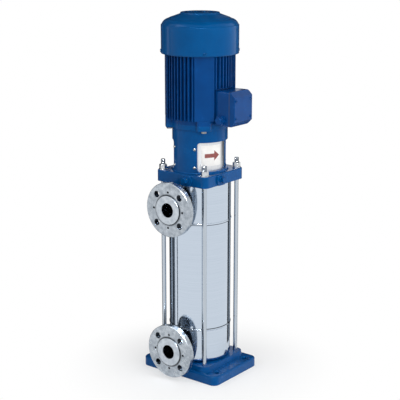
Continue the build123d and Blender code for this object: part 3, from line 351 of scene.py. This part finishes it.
def turned_flange(name, port_height):
    """Cast and turned stainless steel, with its tool marks in rings round a port at that height, and
    painted shade in its corners and holes.
    """
    material, tree, place = new_material(name)
    distance, rings = rings_round(tree, place, port_height)
    clouds, unshaded_tone = mottle(tree, place, "#6C7681", "#D4DCE4", scale=1 / CAST_CLOUD, detail=4.0)
    shine = add_node(
        tree,
        "ShaderNodeMapRange",
        {"Value": clouds, "From Min": 0.3, "From Max": 0.7, "To Min": 0.16, "To Max": 0.34},
    )

    # Painted shade in the corner where the collar meets the flange.
    painted_corner_shade = add_node(
        tree,
        "ShaderNodeMapRange",
        {
            "Value": distance,
            "From Min": COLLAR_RADIUS,
            "From Max": COLLAR_RADIUS + CORNER_SHADE_REACH,
            "To Min": 1.0,
            "To Max": 0.0,
        },
        interpolation_type="SMOOTHSTEP",
    )
    # Painted shade in the bolt holes and other recesses, from their ambient occlusion.
    shelter = add_node(
        tree,
        "ShaderNodeAmbientOcclusion",
        {"Distance": HOLE_SHADE_REACH},
        samples=8,
        only_local=True,
    )
    painted_hole_shade = add_node(
        tree,
        "ShaderNodeMapRange",
        {"Value": shelter.outputs["AO"], "From Min": 0.5, "From Max": 0.85, "To Min": 1.0, "To Max": 0.0},
    )
    painted_shade = add_node(
        tree,
        "ShaderNodeMath",
        {0: painted_corner_shade.outputs[0], 1: painted_hole_shade.outputs[0]},
        operation="MAXIMUM",
    )
    tone = add_node(
        tree,
        "ShaderNodeMix",
        {"Factor": painted_shade.outputs[0], "A": unshaded_tone, "B": colour("#1E2227")},
        data_type="RGBA",
    )

    edge = add_node(tree, "ShaderNodeBevel", {"Radius": 0.8 * MM}, samples=4)
    cast_bump = add_node(
        tree,
        "ShaderNodeBump",
        {"Strength": 0.35, "Distance": 0.3 * MM, "Height": clouds, "Normal": edge.outputs[0]},
    )
    ring_bump = add_node(
        tree,
        "ShaderNodeBump",
        {"Strength": 0.15, "Distance": 0.05 * MM, "Height": rings, "Normal": cast_bump.outputs[0]},
    )
    shader = add_node(
        tree,
        "ShaderNodeBsdfPrincipled",
        {
            "Base Color": tone.outputs["Result"],
            "Metallic": 1.0,
            "Roughness": shine.outputs[0],
            "Normal": ring_bump.outputs[0],
        },
    )
    finish_surface(tree, shader)
    return material


for name in ("suction_flange", "discharge_flange"):
    low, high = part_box(name)
    wear(turned_flange(f"turned_stainless_of_{name}", (low.z + high.z) / 2), name)


# Tie rods. Bright drawn stainless bar, with a rolled thread at the top end that the nut runs on.
# Drawing leaves hair lines along the bar, and the thread is a fine ripple round it.

THREAD_PITCH = 2.5 * MM
THREAD_DEPTH = 0.6 * MM
DRAWN_HAIRS_PER_METRE = (900, 900, 12)  # about 1.1 mm wide, coarser than in fact so that they show


def threaded_bar(name, thread_foot):
    """Bright drawn bar with a thread above the given height."""
    material, tree, place = new_material(name)
    drawn = add_node(tree, "ShaderNodeMapping", {"Vector": place, "Scale": DRAWN_HAIRS_PER_METRE})
    tone = mottle(tree, drawn.outputs[0], "#A4AEB9", "#CDD5DD", scale=1.0, detail=2.0)[1]
    height = add_node(tree, "ShaderNodeSeparateXYZ", {"Vector": place}).outputs["Z"]
    turns = add_node(tree, "ShaderNodeMath", {0: height, 1: 2 * pi / THREAD_PITCH}, operation="MULTIPLY")
    ripple = add_node(tree, "ShaderNodeMath", {0: turns.outputs[0]}, operation="SINE")
    on_thread = add_node(tree, "ShaderNodeMath", {0: height, 1: thread_foot}, operation="GREATER_THAN")
    thread = add_node(
        tree,
        "ShaderNodeMath",
        {0: ripple.outputs[0], 1: on_thread.outputs[0]},
        operation="MULTIPLY",
    )
    bump = add_node(tree, "ShaderNodeBump", {"Distance": THREAD_DEPTH, "Height": thread.outputs[0]})
    shader = add_node(
        tree,
        "ShaderNodeBsdfPrincipled",
        {"Base Color": tone, "Metallic": 1.0, "Roughness": 0.16, "Normal": bump.outputs[0]},
    )
    finish_surface(tree, shader)
    return material


wear(threaded_bar("bright_drawn_stainless_bar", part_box("tie_rod_nuts")[0].z), "tie_rods")


# Nuts and washers of the tie rods. Stainless nuts pressed from hexagon bar, with their corners
# turned off at 30 degrees at both ends, each on a plain stamped washer.

NUT_FLATS = 19 * MM
NUT_BORE = 12.1 * MM
ROD_RADIUS = 6 * MM
CORNER_TURN_OFF = radians(30)
END_FACE_RADIUS = 0.48  # of the width across flats
BORE_PAST_END = 1 * MM
SMOOTH_BELOW = radians(28)


def bright_steel(name, dull, bright, roughness, blotch):
    """Bare or plated metal with a slight blotch in its tone and its shine."""
    material, tree, place = new_material(name)
    blotches, tone = mottle(tree, place, dull, bright, scale=1 / blotch, detail=3.0)
    shine = add_node(
        tree,
        "ShaderNodeMapRange",
        {"Value": blotches, "To Min": roughness * 0.7, "To Max": roughness * 1.3},
    )
    edge = add_node(tree, "ShaderNodeBevel", {"Radius": 0.4 * MM}, samples=4)
    shader = add_node(
        tree,
        "ShaderNodeBsdfPrincipled",
        {"Base Color": tone, "Metallic": 1.0, "Roughness": shine.outputs[0], "Normal": edge.outputs[0]},
    )
    finish_surface(tree, shader)
    return material


def add_cylinder(radius, foot, top, sides=64):
    """A cylinder standing on the Z axis between two heights, made the active object."""
    bpy.ops.object.select_all(action="DESELECT")
    bpy.ops.mesh.primitive_cylinder_add(
        vertices=sides, radius=radius, depth=top - foot, location=(0, 0, (foot + top) / 2)
    )
    bpy.ops.object.transform_apply()
    return bpy.context.object


def pick_end(piece, height):
    """Selects the end face at that height, ready for an edit."""
    bpy.ops.object.mode_set(mode="EDIT")
    bpy.ops.mesh.select_mode(type="FACE")
    bpy.ops.mesh.select_all(action="DESELECT")
    bpy.ops.object.mode_set(mode="OBJECT")
    for face in piece.data.polygons:
        face.select = abs(face.center.z - height) < 1e-6 and abs(face.normal.z) > 0.9
    bpy.ops.object.mode_set(mode="EDIT")


def draw_in_end(piece, height, rise, share):
    """Draws the end face at that height on by a rise, and narrows it to a share of its width."""
    pick_end(piece, height)
    bpy.ops.mesh.extrude_region_move(TRANSFORM_OT_translate={"value": (0, 0, rise)})
    bpy.ops.transform.resize(value=(share, share, 1), center_override=(0, 0, height + rise))
    bpy.ops.object.mode_set(mode="OBJECT")


def cut_with(piece, tool, operation):
    """Cuts, trims or joins a piece with another, which is used up."""
    modifier = piece.modifiers.new("cut", "BOOLEAN")
    modifier.operation = operation
    modifier.object = tool
    modifier.solver = "EXACT"
    bpy.context.view_layer.objects.active = piece
    bpy.ops.object.modifier_apply(modifier="cut")
    bpy.data.objects.remove(tool)
    return piece


def turned_hexagon(flats, foot, top, both_ends):
    """A hexagon bar between two heights, with its corners turned off at the top or at both ends."""
    corner = flats / sqrt(3)
    face = END_FACE_RADIUS * flats
    rise = (corner - face) * tan(CORNER_TURN_OFF)
    bar = add_cylinder(corner, foot, top, 6)
    turning = add_cylinder(corner, foot + rise if both_ends else foot - rise, top - rise, 96)
    draw_in_end(turning, top - rise, rise, face / corner)
    if both_ends:
        draw_in_end(turning, foot + rise, -rise, face / corner)
    return cut_with(bar, turning, "INTERSECT")


def place_copies(piece, places, name):
    """Puts a copy of the piece at every place, joins the copies, and takes the pattern piece away."""
    copies = []
    for place in places:
        bpy.ops.object.select_all(action="DESELECT")
        piece.select_set(True)
        bpy.context.view_layer.objects.active = piece
        bpy.ops.object.duplicate()
        copy = bpy.context.object
        copy.matrix_world = place
        bpy.ops.object.transform_apply()
        copies.append(copy)
    bpy.ops.object.select_all(action="DESELECT")
    for copy in copies:
        copy.select_set(True)
    bpy.context.view_layer.objects.active = copies[0]
    if len(copies) > 1:
        bpy.ops.object.join()
    bpy.data.objects.remove(piece)
    whole = bpy.context.view_layer.objects.active
    whole.name = name
    bpy.ops.object.shade_smooth_by_angle(angle=SMOOTH_BELOW)
    return whole


def dress(piece, material, slot, body, *replaced):
    """Gives a new piece its material, and fixes it to its body in place of packed ones. The slot is not
    used.
    """
    piece.data.materials.clear()
    piece.data.materials.append(material)
    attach(piece, body)
    if replaced:
        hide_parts(*replaced)


nut_steel = bright_steel("pressed_stainless_nut", "#B4B8BC", "#D8DBDE", roughness=0.24, blotch=9 * MM)
low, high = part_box("tie_rod_nuts")
nut_height = high.z - low.z
rod_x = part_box("tie_rods")[1].x - ROD_RADIUS
nut = turned_hexagon(NUT_FLATS, 0, nut_height, both_ends=True)
bore = add_cylinder(NUT_BORE / 2, -BORE_PAST_END, nut_height + BORE_PAST_END)
nut = cut_with(nut, bore, "DIFFERENCE")
places = [Matrix.Translation((x * rod_x, y * rod_x, low.z)) for x in (-1, 1) for y in (-1, 1)]
nuts = place_copies(nut, places, "turned_rod_nuts")
dress(nuts, nut_steel, "plated_steel", "pump", "tie_rod_nuts")
wear(nut_steel, "tie_rod_washers")


# Pump head. One iron casting, square flange and lantern, in the same thick enamel as the base.
# The enamel rounds off its corners a little.

wear(iron_enamel, "pump_head")


# Vent, fill and drain plugs. Stainless plugs with a thread, a turned collar and a hexagon head.
# The two in the side faces of the head are sprayed over with it, and the drain plug stays bare.

PLUG_THREAD_RADIUS = 8 * MM
PLUG_COLLAR_RADIUS = 11 * MM
PLUG_COLLAR_THICKNESS = 2.5 * MM
PLUG_COLLAR_EDGE = 0.6 * MM
PLUG_HEXAGON_FLATS = 16 * MM
PLUG_HEXAGON_HEIGHT = 7 * MM
PLUG_RISE = PLUG_COLLAR_THICKNESS + PLUG_HEXAGON_HEIGHT
THREAD_INTO_COLLAR = 0.2 * MM
HEXAGON_INTO_COLLAR = 0.1 * MM
PLUGS = (
    ("vent_plug", (0, -1, 0), iron_enamel, "blue_enamel_cast_iron"),
    ("fill_plug", (1, 0, 0), iron_enamel, "blue_enamel_cast_iron"),
    ("drain_plug", (-1, 0, 0), nut_steel, "stainless"),
)


def pointing(place, out):
    """The move that takes a piece standing on the origin to a place, facing outwards there."""
    return Matrix.Translation(place) @ Vector(out).to_track_quat("Z", "Y").to_matrix().to_4x4()


def screw_plug(depth):
    """A plug on the origin: thread below, then its collar with a turned edge, and its hexagon."""
    plug = add_cylinder(PLUG_THREAD_RADIUS, -depth, THREAD_INTO_COLLAR)
    edge_foot = PLUG_COLLAR_THICKNESS - PLUG_COLLAR_EDGE
    collar = add_cylinder(PLUG_COLLAR_RADIUS, 0, edge_foot)
    draw_in_end(collar, edge_foot, PLUG_COLLAR_EDGE, 1 - PLUG_COLLAR_EDGE / PLUG_COLLAR_RADIUS)
    hexagon_foot = PLUG_COLLAR_THICKNESS - HEXAGON_INTO_COLLAR
    hexagon = turned_hexagon(PLUG_HEXAGON_FLATS, hexagon_foot, PLUG_RISE, both_ends=False)
    cut_with(plug, collar, "UNION")
    return cut_with(plug, hexagon, "UNION")


for node, out, plug_material, plug_slot in PLUGS:
    low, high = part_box(node)
    length = high.x - low.x if out[0] else high.y - low.y
    seat = (low + high) / 2 + Vector(out) * (length / 2 - PLUG_RISE)
    plug = place_copies(screw_plug(length - PLUG_RISE), [pointing(seat, out)], f"turned_{node}")
    dress(plug, plug_material, plug_slot, "pump", node)


# Coupling guards. Thin stainless sheet, rolled to the lantern's bore and ground along its length.
# The grinding leaves upright hair lines and a soft white shine.

GROUND_HAIRS_PER_METRE = (700, 700, 9)  # about 1.4 mm wide, coarser than in fact so that they show

material, tree, place = new_material("ground_stainless_sheet")
ground = add_node(tree, "ShaderNodeMapping", {"Vector": place, "Scale": GROUND_HAIRS_PER_METRE})
hairs, tone = mottle(tree, ground.outputs[0], "#C9CCD0", "#ECEEF0", scale=1.0, detail=3.0)
shine = add_node(tree, "ShaderNodeMapRange", {"Value": hairs, "To Min": 0.2, "To Max": 0.42})
bump = add_node(tree, "ShaderNodeBump", {"Strength": 0.25, "Distance": 0.05 * MM, "Height": hairs})
shader = add_node(
    tree,
    "ShaderNodeBsdfPrincipled",
    {"Base Color": tone, "Metallic": 1.0, "Roughness": shine.outputs[0], "Normal": bump.outputs[0]},
)
finish_surface(tree, shader)
wear(material, "coupling_guard_front", "coupling_guard_rear")


# Guard screws. Zinc plated pan heads with a cross recess, eight of them, through the lantern legs.
# The plating has dulled to a soft grey.

GUARD_SCREW_HEAD_RADIUS = 3.8 * MM
GUARD_SCREW_HEAD_HEIGHT = 2.4 * MM
GUARD_SCREW_TURN = 63  # degrees from the terminal box's side, and from the side behind it
LANTERN_RADIUS = 76 * MM
PAN_RIM = 0.45  # of the head's height
PAN_DOME = ((0.3, 0.9), (0.18, 0.78), (0.07, 0.6))  # rise of the head's height, and share of width
RECESS_WIDTH = 0.22  # of the head's radius
RECESS_LENGTH = 1.1  # of the head's radius
SHANK_INTO_HEAD = 0.1  # of the head's height


def pan_head_screw(head_radius, head_height, shank_radius, shank_length):
    """A pan head screw on the origin, head up, with a cross recess."""
    level = PAN_RIM * head_height
    screw = add_cylinder(head_radius, 0, level, 40)
    for rise, share in PAN_DOME:
        draw_in_end(screw, level, rise * head_height, share)
        level += rise * head_height
    for width, length in ((RECESS_WIDTH, RECESS_LENGTH), (RECESS_LENGTH, RECESS_WIDTH)):
        bpy.ops.mesh.primitive_cube_add(size=1, location=(0, 0, level))
        slot_tool = bpy.context.object
        slot_tool.scale = (width * head_radius, length * head_radius, head_height)
        bpy.ops.object.transform_apply()
        cut_with(screw, slot_tool, "DIFFERENCE")
    shank = add_cylinder(shank_radius, -shank_length, SHANK_INTO_HEAD * head_height, 32)
    return cut_with(screw, shank, "UNION")


def out_from_shaft(radius, turn, level):
    """The move to a place round the shaft, facing straight out from it."""
    out = (cos(radians(turn)), sin(radians(turn)), 0)
    return pointing((radius * out[0], radius * out[1], level), out)


zinc = bright_steel("zinc_plated_steel", "#75787A", "#A3A5A4", roughness=0.34, blotch=5 * MM)
low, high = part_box("guard_screws")
places = [
    out_from_shaft(LANTERN_RADIUS, side + turn, level)
    for side in (0, 180)
    for turn in (-GUARD_SCREW_TURN, GUARD_SCREW_TURN)
    for level in (low.z + GUARD_SCREW_HEAD_RADIUS, high.z - GUARD_SCREW_HEAD_RADIUS)
]
guard_screw = pan_head_screw(
    GUARD_SCREW_HEAD_RADIUS, GUARD_SCREW_HEAD_HEIGHT, shank_radius=2 * MM, shank_length=10 * MM
)
guard_screws = place_copies(guard_screw, places, "pan_head_guard_screws")
dress(guard_screws, zinc, "plated_steel", "pump", "guard_screws")


# Guard label. White vinyl film stuck on the front guard, and printed in red with the arrow that
# such pumps carry to show which way the shaft turns.

LABEL_FROM = -49  # degrees round the shaft, as the arrow's turns are
LABEL_TO = 4
LABEL_FOOT = 0.6
LABEL_TOP = 0.657
LABEL_FILM = 0.15 * MM
LABEL_SMUDGE = 14 * MM
ARROW_FROM = -41
ARROW_NECK = -17
ARROW_TIP = -2
ARROW_HALF_WIDTH = 5.5 * MM
ARROW_HEAD_HALF_WIDTH = 14 * MM
ARROW_INK = 0.06 * MM
PRINT_GRAIN = 2 * MM
label_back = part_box("coupling_guard_front")[1].x
label_face = label_back + LABEL_FILM
arrow_level = (LABEL_FOOT + LABEL_TOP) / 2


def curved_strip(radius, from_turn, to_turn, foot, top, steps):
    """A thin band round the shaft axis, made by spinning one upright edge."""
    start = radians(from_turn)
    bpy.ops.object.select_all(action="DESELECT")
    bpy.ops.mesh.primitive_plane_add(size=1)
    strip = bpy.context.object
    bpy.ops.object.mode_set(mode="EDIT")
    bpy.ops.mesh.select_all(action="SELECT")
    bpy.ops.mesh.delete(type="ONLY_FACE")
    bpy.ops.object.mode_set(mode="OBJECT")
    for number, vertex in enumerate(strip.data.vertices):
        vertex.co = (radius * cos(start), radius * sin(start), foot if number in (0, 1) else top)
    bpy.ops.object.mode_set(mode="EDIT")
    bpy.ops.mesh.select_all(action="SELECT")
    bpy.ops.mesh.remove_doubles(threshold=1e-5)
    bpy.ops.mesh.select_all(action="SELECT")
    bpy.ops.mesh.spin(
        steps=steps, angle=radians(from_turn - to_turn), center=(0, 0, 0), axis=(0, 0, 1)
    )
    bpy.ops.object.mode_set(mode="OBJECT")
    return strip


def thicken(strip, thickness):
    """Gives a bent strip its thickness, outwards from the shaft."""
    bpy.ops.object.select_all(action="DESELECT")
    strip.select_set(True)
    bpy.context.view_layer.objects.active = strip
    bpy.ops.object.mode_set(mode="EDIT")
    bpy.ops.mesh.select_all(action="SELECT")
    bpy.ops.mesh.remove_doubles(threshold=1e-6)
    bpy.ops.mesh.normals_make_consistent(inside=False)
    bpy.ops.object.mode_set(mode="OBJECT")
    outwards = sum(
        face.normal.x * face.center.x + face.normal.y * face.center.y for face in strip.data.polygons
    )
    if outwards < 0:
        bpy.ops.object.mode_set(mode="EDIT")
        bpy.ops.mesh.flip_normals()
        bpy.ops.object.mode_set(mode="OBJECT")
    solidify = strip.modifiers.new("film", "SOLIDIFY")
    solidify.thickness = thickness
    solidify.offset = 1
    bpy.ops.object.modifier_apply(modifier="film")


def arrow_strip(from_turn, to_turn, half_width, steps):
    """A stretch of the arrow, bent round the face of the label at its middle height."""
    return curved_strip(
        label_face, from_turn, to_turn, arrow_level - half_width, arrow_level + half_width, steps
    )


def printed_film(name, dark, light, grain, detail, roughness):
    """Smooth film or ink with a slightly uneven tone."""
    material, tree, place = new_material(name)
    tone = mottle(tree, place, dark, light, scale=1 / grain, detail=detail)[1]
    shader = add_node(tree, "ShaderNodeBsdfPrincipled", {"Base Color": tone, "Roughness": roughness})
    finish_surface(tree, shader)
    return material


label = curved_strip(label_back, LABEL_FROM, LABEL_TO, LABEL_FOOT, LABEL_TOP, steps=24)
thicken(label, LABEL_FILM)
label.name = "guard_label"
white_film = printed_film(
    "white_vinyl_film", "#E4E2DE", "#F4F3F0", grain=LABEL_SMUDGE, detail=3.0, roughness=0.42
)
dress(label, white_film, "stainless", "pump")

arrow = arrow_strip(ARROW_FROM, ARROW_NECK, ARROW_HALF_WIDTH, steps=16)
thicken(arrow, ARROW_INK)
arrow_head = arrow_strip(ARROW_NECK, ARROW_TIP, ARROW_HEAD_HALF_WIDTH, steps=10)
for vertex in arrow_head.data.vertices:
    turn = atan2(vertex.co.y, vertex.co.x)
    width_left = (radians(ARROW_TIP) - turn) / radians(ARROW_TIP - ARROW_NECK)
    vertex.co.z = arrow_level + (vertex.co.z - arrow_level) * width_left
thicken(arrow_head, ARROW_INK)
arrow = cut_with(arrow, arrow_head, "UNION")
arrow.name = "rotation_arrow"
red_ink = printed_film(
    "red_printing_ink", "#7A3A38", "#96504A", grain=PRINT_GRAIN, detail=2.0, roughness=0.5
)
dress(arrow, red_ink, "stainless", "pump")


# Coupling. Two clamping halves of blackened cast iron, machined on the outside, and the cap
# screws that draw them together round both shaft ends.

black_iron = bright_steel("blackened_cast_iron", "#24262A", "#3A3D42", roughness=0.42, blotch=8 * MM)
black_steel = bright_steel("black_cap_screw_steel", "#1C1E21", "#2E3135", roughness=0.36, blotch=4 * MM)
wear(black_iron, "coupling_half_front", "coupling_half_rear")
wear(black_steel, "coupling_screws")


# Stages and shaft. Pressed stainless bowls and wheels, and a ground stainless shaft with its
# sleeves, its nut and its clamp. Most of it runs in water inside the polished tube.

STAGES = 6
sheet_steel = bright_steel("pressed_stainless_sheet", "#B2B5B9", "#CDD0D3", roughness=0.28, blotch=16 * MM)
shaft_steel = bright_steel("ground_shaft_steel", "#BFC2C6", "#DEE0E3", roughness=0.18, blotch=12 * MM)
for stage in range(1, STAGES + 1):
    wear(sheet_steel, f"diffuser_{stage}", f"impeller_{stage}")
wear(shaft_steel, "pump_shaft", "motor_shaft", "shaft_sleeves", "shaft_nut", "stage_clamp", "seal_housing")


# Shaft seal and lower bush. A lapped carbide ring, its rotating partner and a carbide bush, dark
# grey and almost black, with a dull silky shine.

carbide = bright_steel("lapped_carbide", "#2C2E31", "#44474B", roughness=0.3, blotch=4 * MM)
wear(carbide, "seal_seat_ring", "seal_rotating_ring", "lower_bush")


# Motor. Die-cast aluminium frame and end shields, sprayed in the same blue as the pump.
# The casting is finer than the iron, so the enamel lies smoother. Its darker blue is painted shade, for the
# shade between the fins.

DIE_CAST_SKIN = 3.5 * MM  # well under 1 mm in fact, drawn coarser so that it shows

aluminium_enamel = enamel(
    "gloss_enamel_on_die_cast_aluminium",
    light="#03478A",
    shade="#02346C",
    grain=DIE_CAST_SKIN,
    depth=0.06 * MM,
    roughness=0.26,
    edge_radius=1.2 * MM,
)
wear(aluminium_enamel, "motor_frame", "drive_end_shield", "fan_end_shield")


# Motor bolts. Zinc plated hexagon bolts that go up through the lantern's lugs into the shield.
# The heads stand on the underside of the lugs.

wear(zinc, "motor_bolts")


# Inside of the motor. Stacked electrical steel, varnished copper windings, ball bearings and the
# moulded fan, which shows through the grille of its cover.

MOULD_GRAIN = 1.5 * MM

laminations = bright_steel("stacked_electrical_steel", "#55575A", "#74767A", roughness=0.45, blotch=3 * MM)
copper = bright_steel("varnished_copper_wire", "#8A4A22", "#B5683A", roughness=0.4, blotch=2 * MM)
bearing_steel = bright_steel("bearing_steel", "#B8BBBE", "#D5D7DA", roughness=0.2, blotch=6 * MM)
fan_plastic = moulded(
    "moulded_black_polypropylene", "#191A1D", "#25272B", grain=MOULD_GRAIN, detail=2.0, roughness=0.5
)
board_plastic = moulded(
    "moulded_brown_phenolic", "#5A3D22", "#6E4D2E", grain=MOULD_GRAIN, detail=2.0, roughness=0.45
)
wear(laminations, "stator_core", "rotor_core")
wear(copper, "stator_windings")
wear(bearing_steel, "drive_end_bearing", "fan_end_bearing")
wear(fan_plastic, "cooling_fan")
wear(board_plastic, "terminal_board")


# Fan cover. A deep-drawn hood of sheet steel with a stepped shoulder and an air grille, sprayed
# with the smoothest and glossiest enamel of the pump.

SPRAY_RIPPLE = 14 * MM  # a few millimetres in fact, drawn wider so that it shows

sheet_enamel = enamel(
    "gloss_enamel_on_drawn_sheet",
    light="#00528E",
    shade="#00467E",
    grain=SPRAY_RIPPLE,
    depth=0.04 * MM,
    roughness=0.18,
    edge_radius=5 * MM,
)
wear(sheet_enamel, "fan_cover")


# Fan cover screws. Four pan heads, one at each corner lug of the fan end shield. They were in
# place when the motor was sprayed, so they are as blue as the cover.

COVER_SCREW_HEAD_RADIUS = 4.5 * MM
COVER_SCREW_HEAD_HEIGHT = 2.5 * MM
COVER_SCREW_TURNS = (45, 135, 225, 315)
low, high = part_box("fan_cover_screws")
cover_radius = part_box("fan_cover")[1].x
cover_screw = pan_head_screw(
    COVER_SCREW_HEAD_RADIUS, COVER_SCREW_HEAD_HEIGHT, shank_radius=2.5 * MM, shank_length=8 * MM
)
places = [out_from_shaft(cover_radius, turn, (low.z + high.z) / 2) for turn in COVER_SCREW_TURNS]
cover_screws = place_copies(cover_screw, places, "pan_head_cover_screws")
dress(cover_screws, sheet_enamel, "blue_enamel_steel", "pump", "fan_cover_screws")


# Terminal box. A die-cast base and lid in the motor's blue, with a rubber gasket between them.
# The plug in the cable entry was in its place too when the motor was sprayed.

wear(aluminium_enamel, "terminal_box", "terminal_box_lid", "cable_entry_plug")


# Lid screws. Four pan heads near the sides of the lid, which hold it down on its gasket. They are
# sprayed over with it.

LID_SCREW_HEAD_RADIUS = 3.8 * MM
LID_SCREW_HEAD_HEIGHT = 2.5 * MM
low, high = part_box("lid_screws")
lid_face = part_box("terminal_box_lid")[1].x
lid_screw = pan_head_screw(
    LID_SCREW_HEAD_RADIUS, LID_SCREW_HEAD_HEIGHT, shank_radius=2 * MM, shank_length=lid_face - low.x
)
places = [
    pointing((lid_face, y, z), (1, 0, 0))
    for y in (low.y + LID_SCREW_HEAD_RADIUS, high.y - LID_SCREW_HEAD_RADIUS)
    for z in (low.z + LID_SCREW_HEAD_RADIUS, high.z - LID_SCREW_HEAD_RADIUS)
]
lid_screws = place_copies(lid_screw, places, "pan_head_lid_screws")
dress(lid_screws, aluminium_enamel, "blue_enamel_aluminium", "pump", "lid_screws")


# Floor. A plain pale sweep. Near the pump it takes the light and the shadow, and further out it
# runs into the white of the background.

FLOOR_RADIUS = 30
FLOOR_BELOW_FOOT = 0.4 * MM
FADE_FROM = 0.1
FADE_TO = 0.42


def sees_background(tree):
    """One for every ray that finds the background white: the camera's, mirrored or refracted ones."""
    rays = add_node(tree, "ShaderNodeLightPath")
    seen = rays.outputs["Is Camera Ray"]
    for kind in ("Is Glossy Ray", "Is Transmission Ray"):
        either = add_node(tree, "ShaderNodeMath", {0: seen, 1: rays.outputs[kind]}, operation="MAXIMUM")
        seen = either.outputs[0]
    return seen


bpy.ops.mesh.primitive_circle_add(
    vertices=96, radius=FLOOR_RADIUS, fill_type="NGON", location=(0, 0, -FLOOR_BELOW_FOOT)
)
floor = bpy.context.object
floor.name = "floor"
material, tree, place = new_material("white_studio_sweep")
reach = add_node(tree, "ShaderNodeVectorMath", {0: place}, operation="LENGTH")
fade = add_node(
    tree,
    "ShaderNodeMapRange",
    {"Value": reach.outputs["Value"], "From Min": FADE_FROM, "From Max": FADE_TO, "To Min": 0.5},
    interpolation_type="SMOOTHSTEP",
)
whitening = add_node(
    tree,
    "ShaderNodeMath",
    {0: fade.outputs[0], 1: sees_background(tree)},
    operation="MULTIPLY",
)
paper = add_node(tree, "ShaderNodeBsdfDiffuse", {"Color": colour("#F2F3F4")})
white = add_node(tree, "ShaderNodeEmission", {"Color": colour("#FFFFFF"), "Strength": 1.0})
sweep = add_node(
    tree,
    "ShaderNodeMixShader",
    {0: whitening.outputs[0], 1: paper.outputs[0], 2: white.outputs[0]},
)
finish_surface(tree, sweep)
floor.data.materials.append(material)
floor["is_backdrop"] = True


# Black cloths. Four hang round the pump and one is stretched above it, as in a studio, to draw
# dark lines down the polished tube. They show only in what shines, and glow dimly, with painted light on
# their folds.

CLOTH_DISTANCE = 0.25
CLOTH_TOP = 1.5
CLOTH_FOLD = 42 * MM
HUNG_CLOTHS = (  # name, the turns in degrees that it hangs between, and the height of its foot
    ("black_card_1", 57, 100, 0),
    ("black_card_2", 148, 216, 0),
    ("black_card_3", -134, -130, 0),
    ("black_card_over_1", 100, 148, 1.0),
)
OVERHEAD_CLOTH = 2.4
OVERHEAD_PLACE = (-0.5, 0.63, 2.2)

cloth_material, tree, place = new_material("black_card")
upright = add_node(tree, "ShaderNodeMapping", {"Vector": place, "Scale": (1, 1, 0)})
folds = add_node(
    tree,
    "ShaderNodeTexNoise",
    {"Vector": upright.outputs[0], "Scale": 1 / CLOTH_FOLD, "Detail": 2.0},
)
# Painted light: the cloth glows paler along its folds.
painted_fold_light = add_node(
    tree,
    "ShaderNodeMapRange",
    {"Value": folds.outputs["Fac"], "From Min": 0.5, "From Max": 0.74},
)
tone = add_node(
    tree,
    "ShaderNodeMix",
    {"Factor": painted_fold_light.outputs[0], "A": colour("#1C2025"), "B": colour("#A3ACB6")},
    data_type="RGBA",
)
dim_light = add_node(tree, "ShaderNodeEmission", {"Color": tone.outputs["Result"], "Strength": 1.0})
finish_surface(tree, dim_light)


def hang_cloth(cloth, name):
    """Gives a cloth its name and material, and leaves it visible only in what shines."""
    cloth.name = name
    cloth.data.materials.append(cloth_material)
    cloth.visible_camera = cloth.visible_diffuse = False
    cloth.visible_shadow = cloth.visible_transmission = False
    cloth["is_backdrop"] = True


for name, start, end, foot in HUNG_CLOTHS:
    hang_cloth(curved_strip(CLOTH_DISTANCE, start, end, foot, CLOTH_TOP, steps=12), name)
bpy.ops.mesh.primitive_plane_add(size=OVERHEAD_CLOTH, location=OVERHEAD_PLACE)
hang_cloth(bpy.context.object, "black_card_over_2")


# Light. A white room, a large soft lamp to the right of the camera, a weaker one high on the left,
# and a strip above the camera that shows only as a thin line of light in the gloss of the enamel.

world = bpy.data.worlds.new("white_room")
bpy.context.scene.world = world
world.use_nodes = True
tree = world.node_tree
tree.nodes.clear()
strength = add_node(
    tree,
    "ShaderNodeMapRange",
    {"Value": sees_background(tree), "To Min": 0.5, "To Max": 1.0},
)
room = add_node(tree, "ShaderNodeBackground", {"Color": colour("#FFFFFF"), "Strength": strength.outputs[0]})
tree.links.new(room.outputs[0], add_node(tree, "ShaderNodeOutputWorld").inputs["Surface"])


def soft_lamp(name, place, aim_height, width, height, power, **seen_by):
    """An area lamp that faces the shaft at a height. What it is seen by is switched off by name."""
    bpy.ops.object.light_add(type="AREA", location=place)
    lamp = bpy.context.object
    lamp.name = name
    lamp.data.shape = "RECTANGLE"
    lamp.data.size = width
    lamp.data.size_y = height
    lamp.data.energy = power
    lamp.rotation_euler = (Vector((0, 0, aim_height)) - Vector(place)).to_track_quat("-Z", "Y").to_euler()
    for rays, seen in seen_by.items():
        setattr(lamp, rays, seen)
    lamp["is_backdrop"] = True


soft_lamp("key_lamp", (2.3, -0.5, 1.5), 0.5, width=2.4, height=2.4, power=46, visible_glossy=False)
soft_lamp("fill_lamp", (-1.2, -2.0, 2.4), 0.5, width=1.4, height=1.4, power=16)
soft_lamp("strip_lamp", (1.3, -2.25, 2.6), 0.9, width=2.4, height=0.25, power=260, visible_diffuse=False)


# Camera. It stands where the photograph was taken from: 38 degrees round from the ports towards
# the terminal box, about 2.9 m away and a little above the top of the motor.

VIEW_TURN = radians(38)
VIEW_DISTANCE = 2.93
VIEW_HEIGHT = 1.245
AIM_HEIGHT = 0.49
LENS = 98

view_place = Vector((VIEW_DISTANCE * sin(VIEW_TURN), -VIEW_DISTANCE * cos(VIEW_TURN), VIEW_HEIGHT))
bpy.ops.object.camera_add(location=view_place)
camera = bpy.context.object
camera.data.lens = LENS
camera.rotation_euler = (Vector((0, 0, AIM_HEIGHT)) - view_place).to_track_quat("-Z", "Y").to_euler()
bpy.context.scene.camera = camera
bpy.context.scene.view_settings.view_transform = "Standard"

low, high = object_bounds()
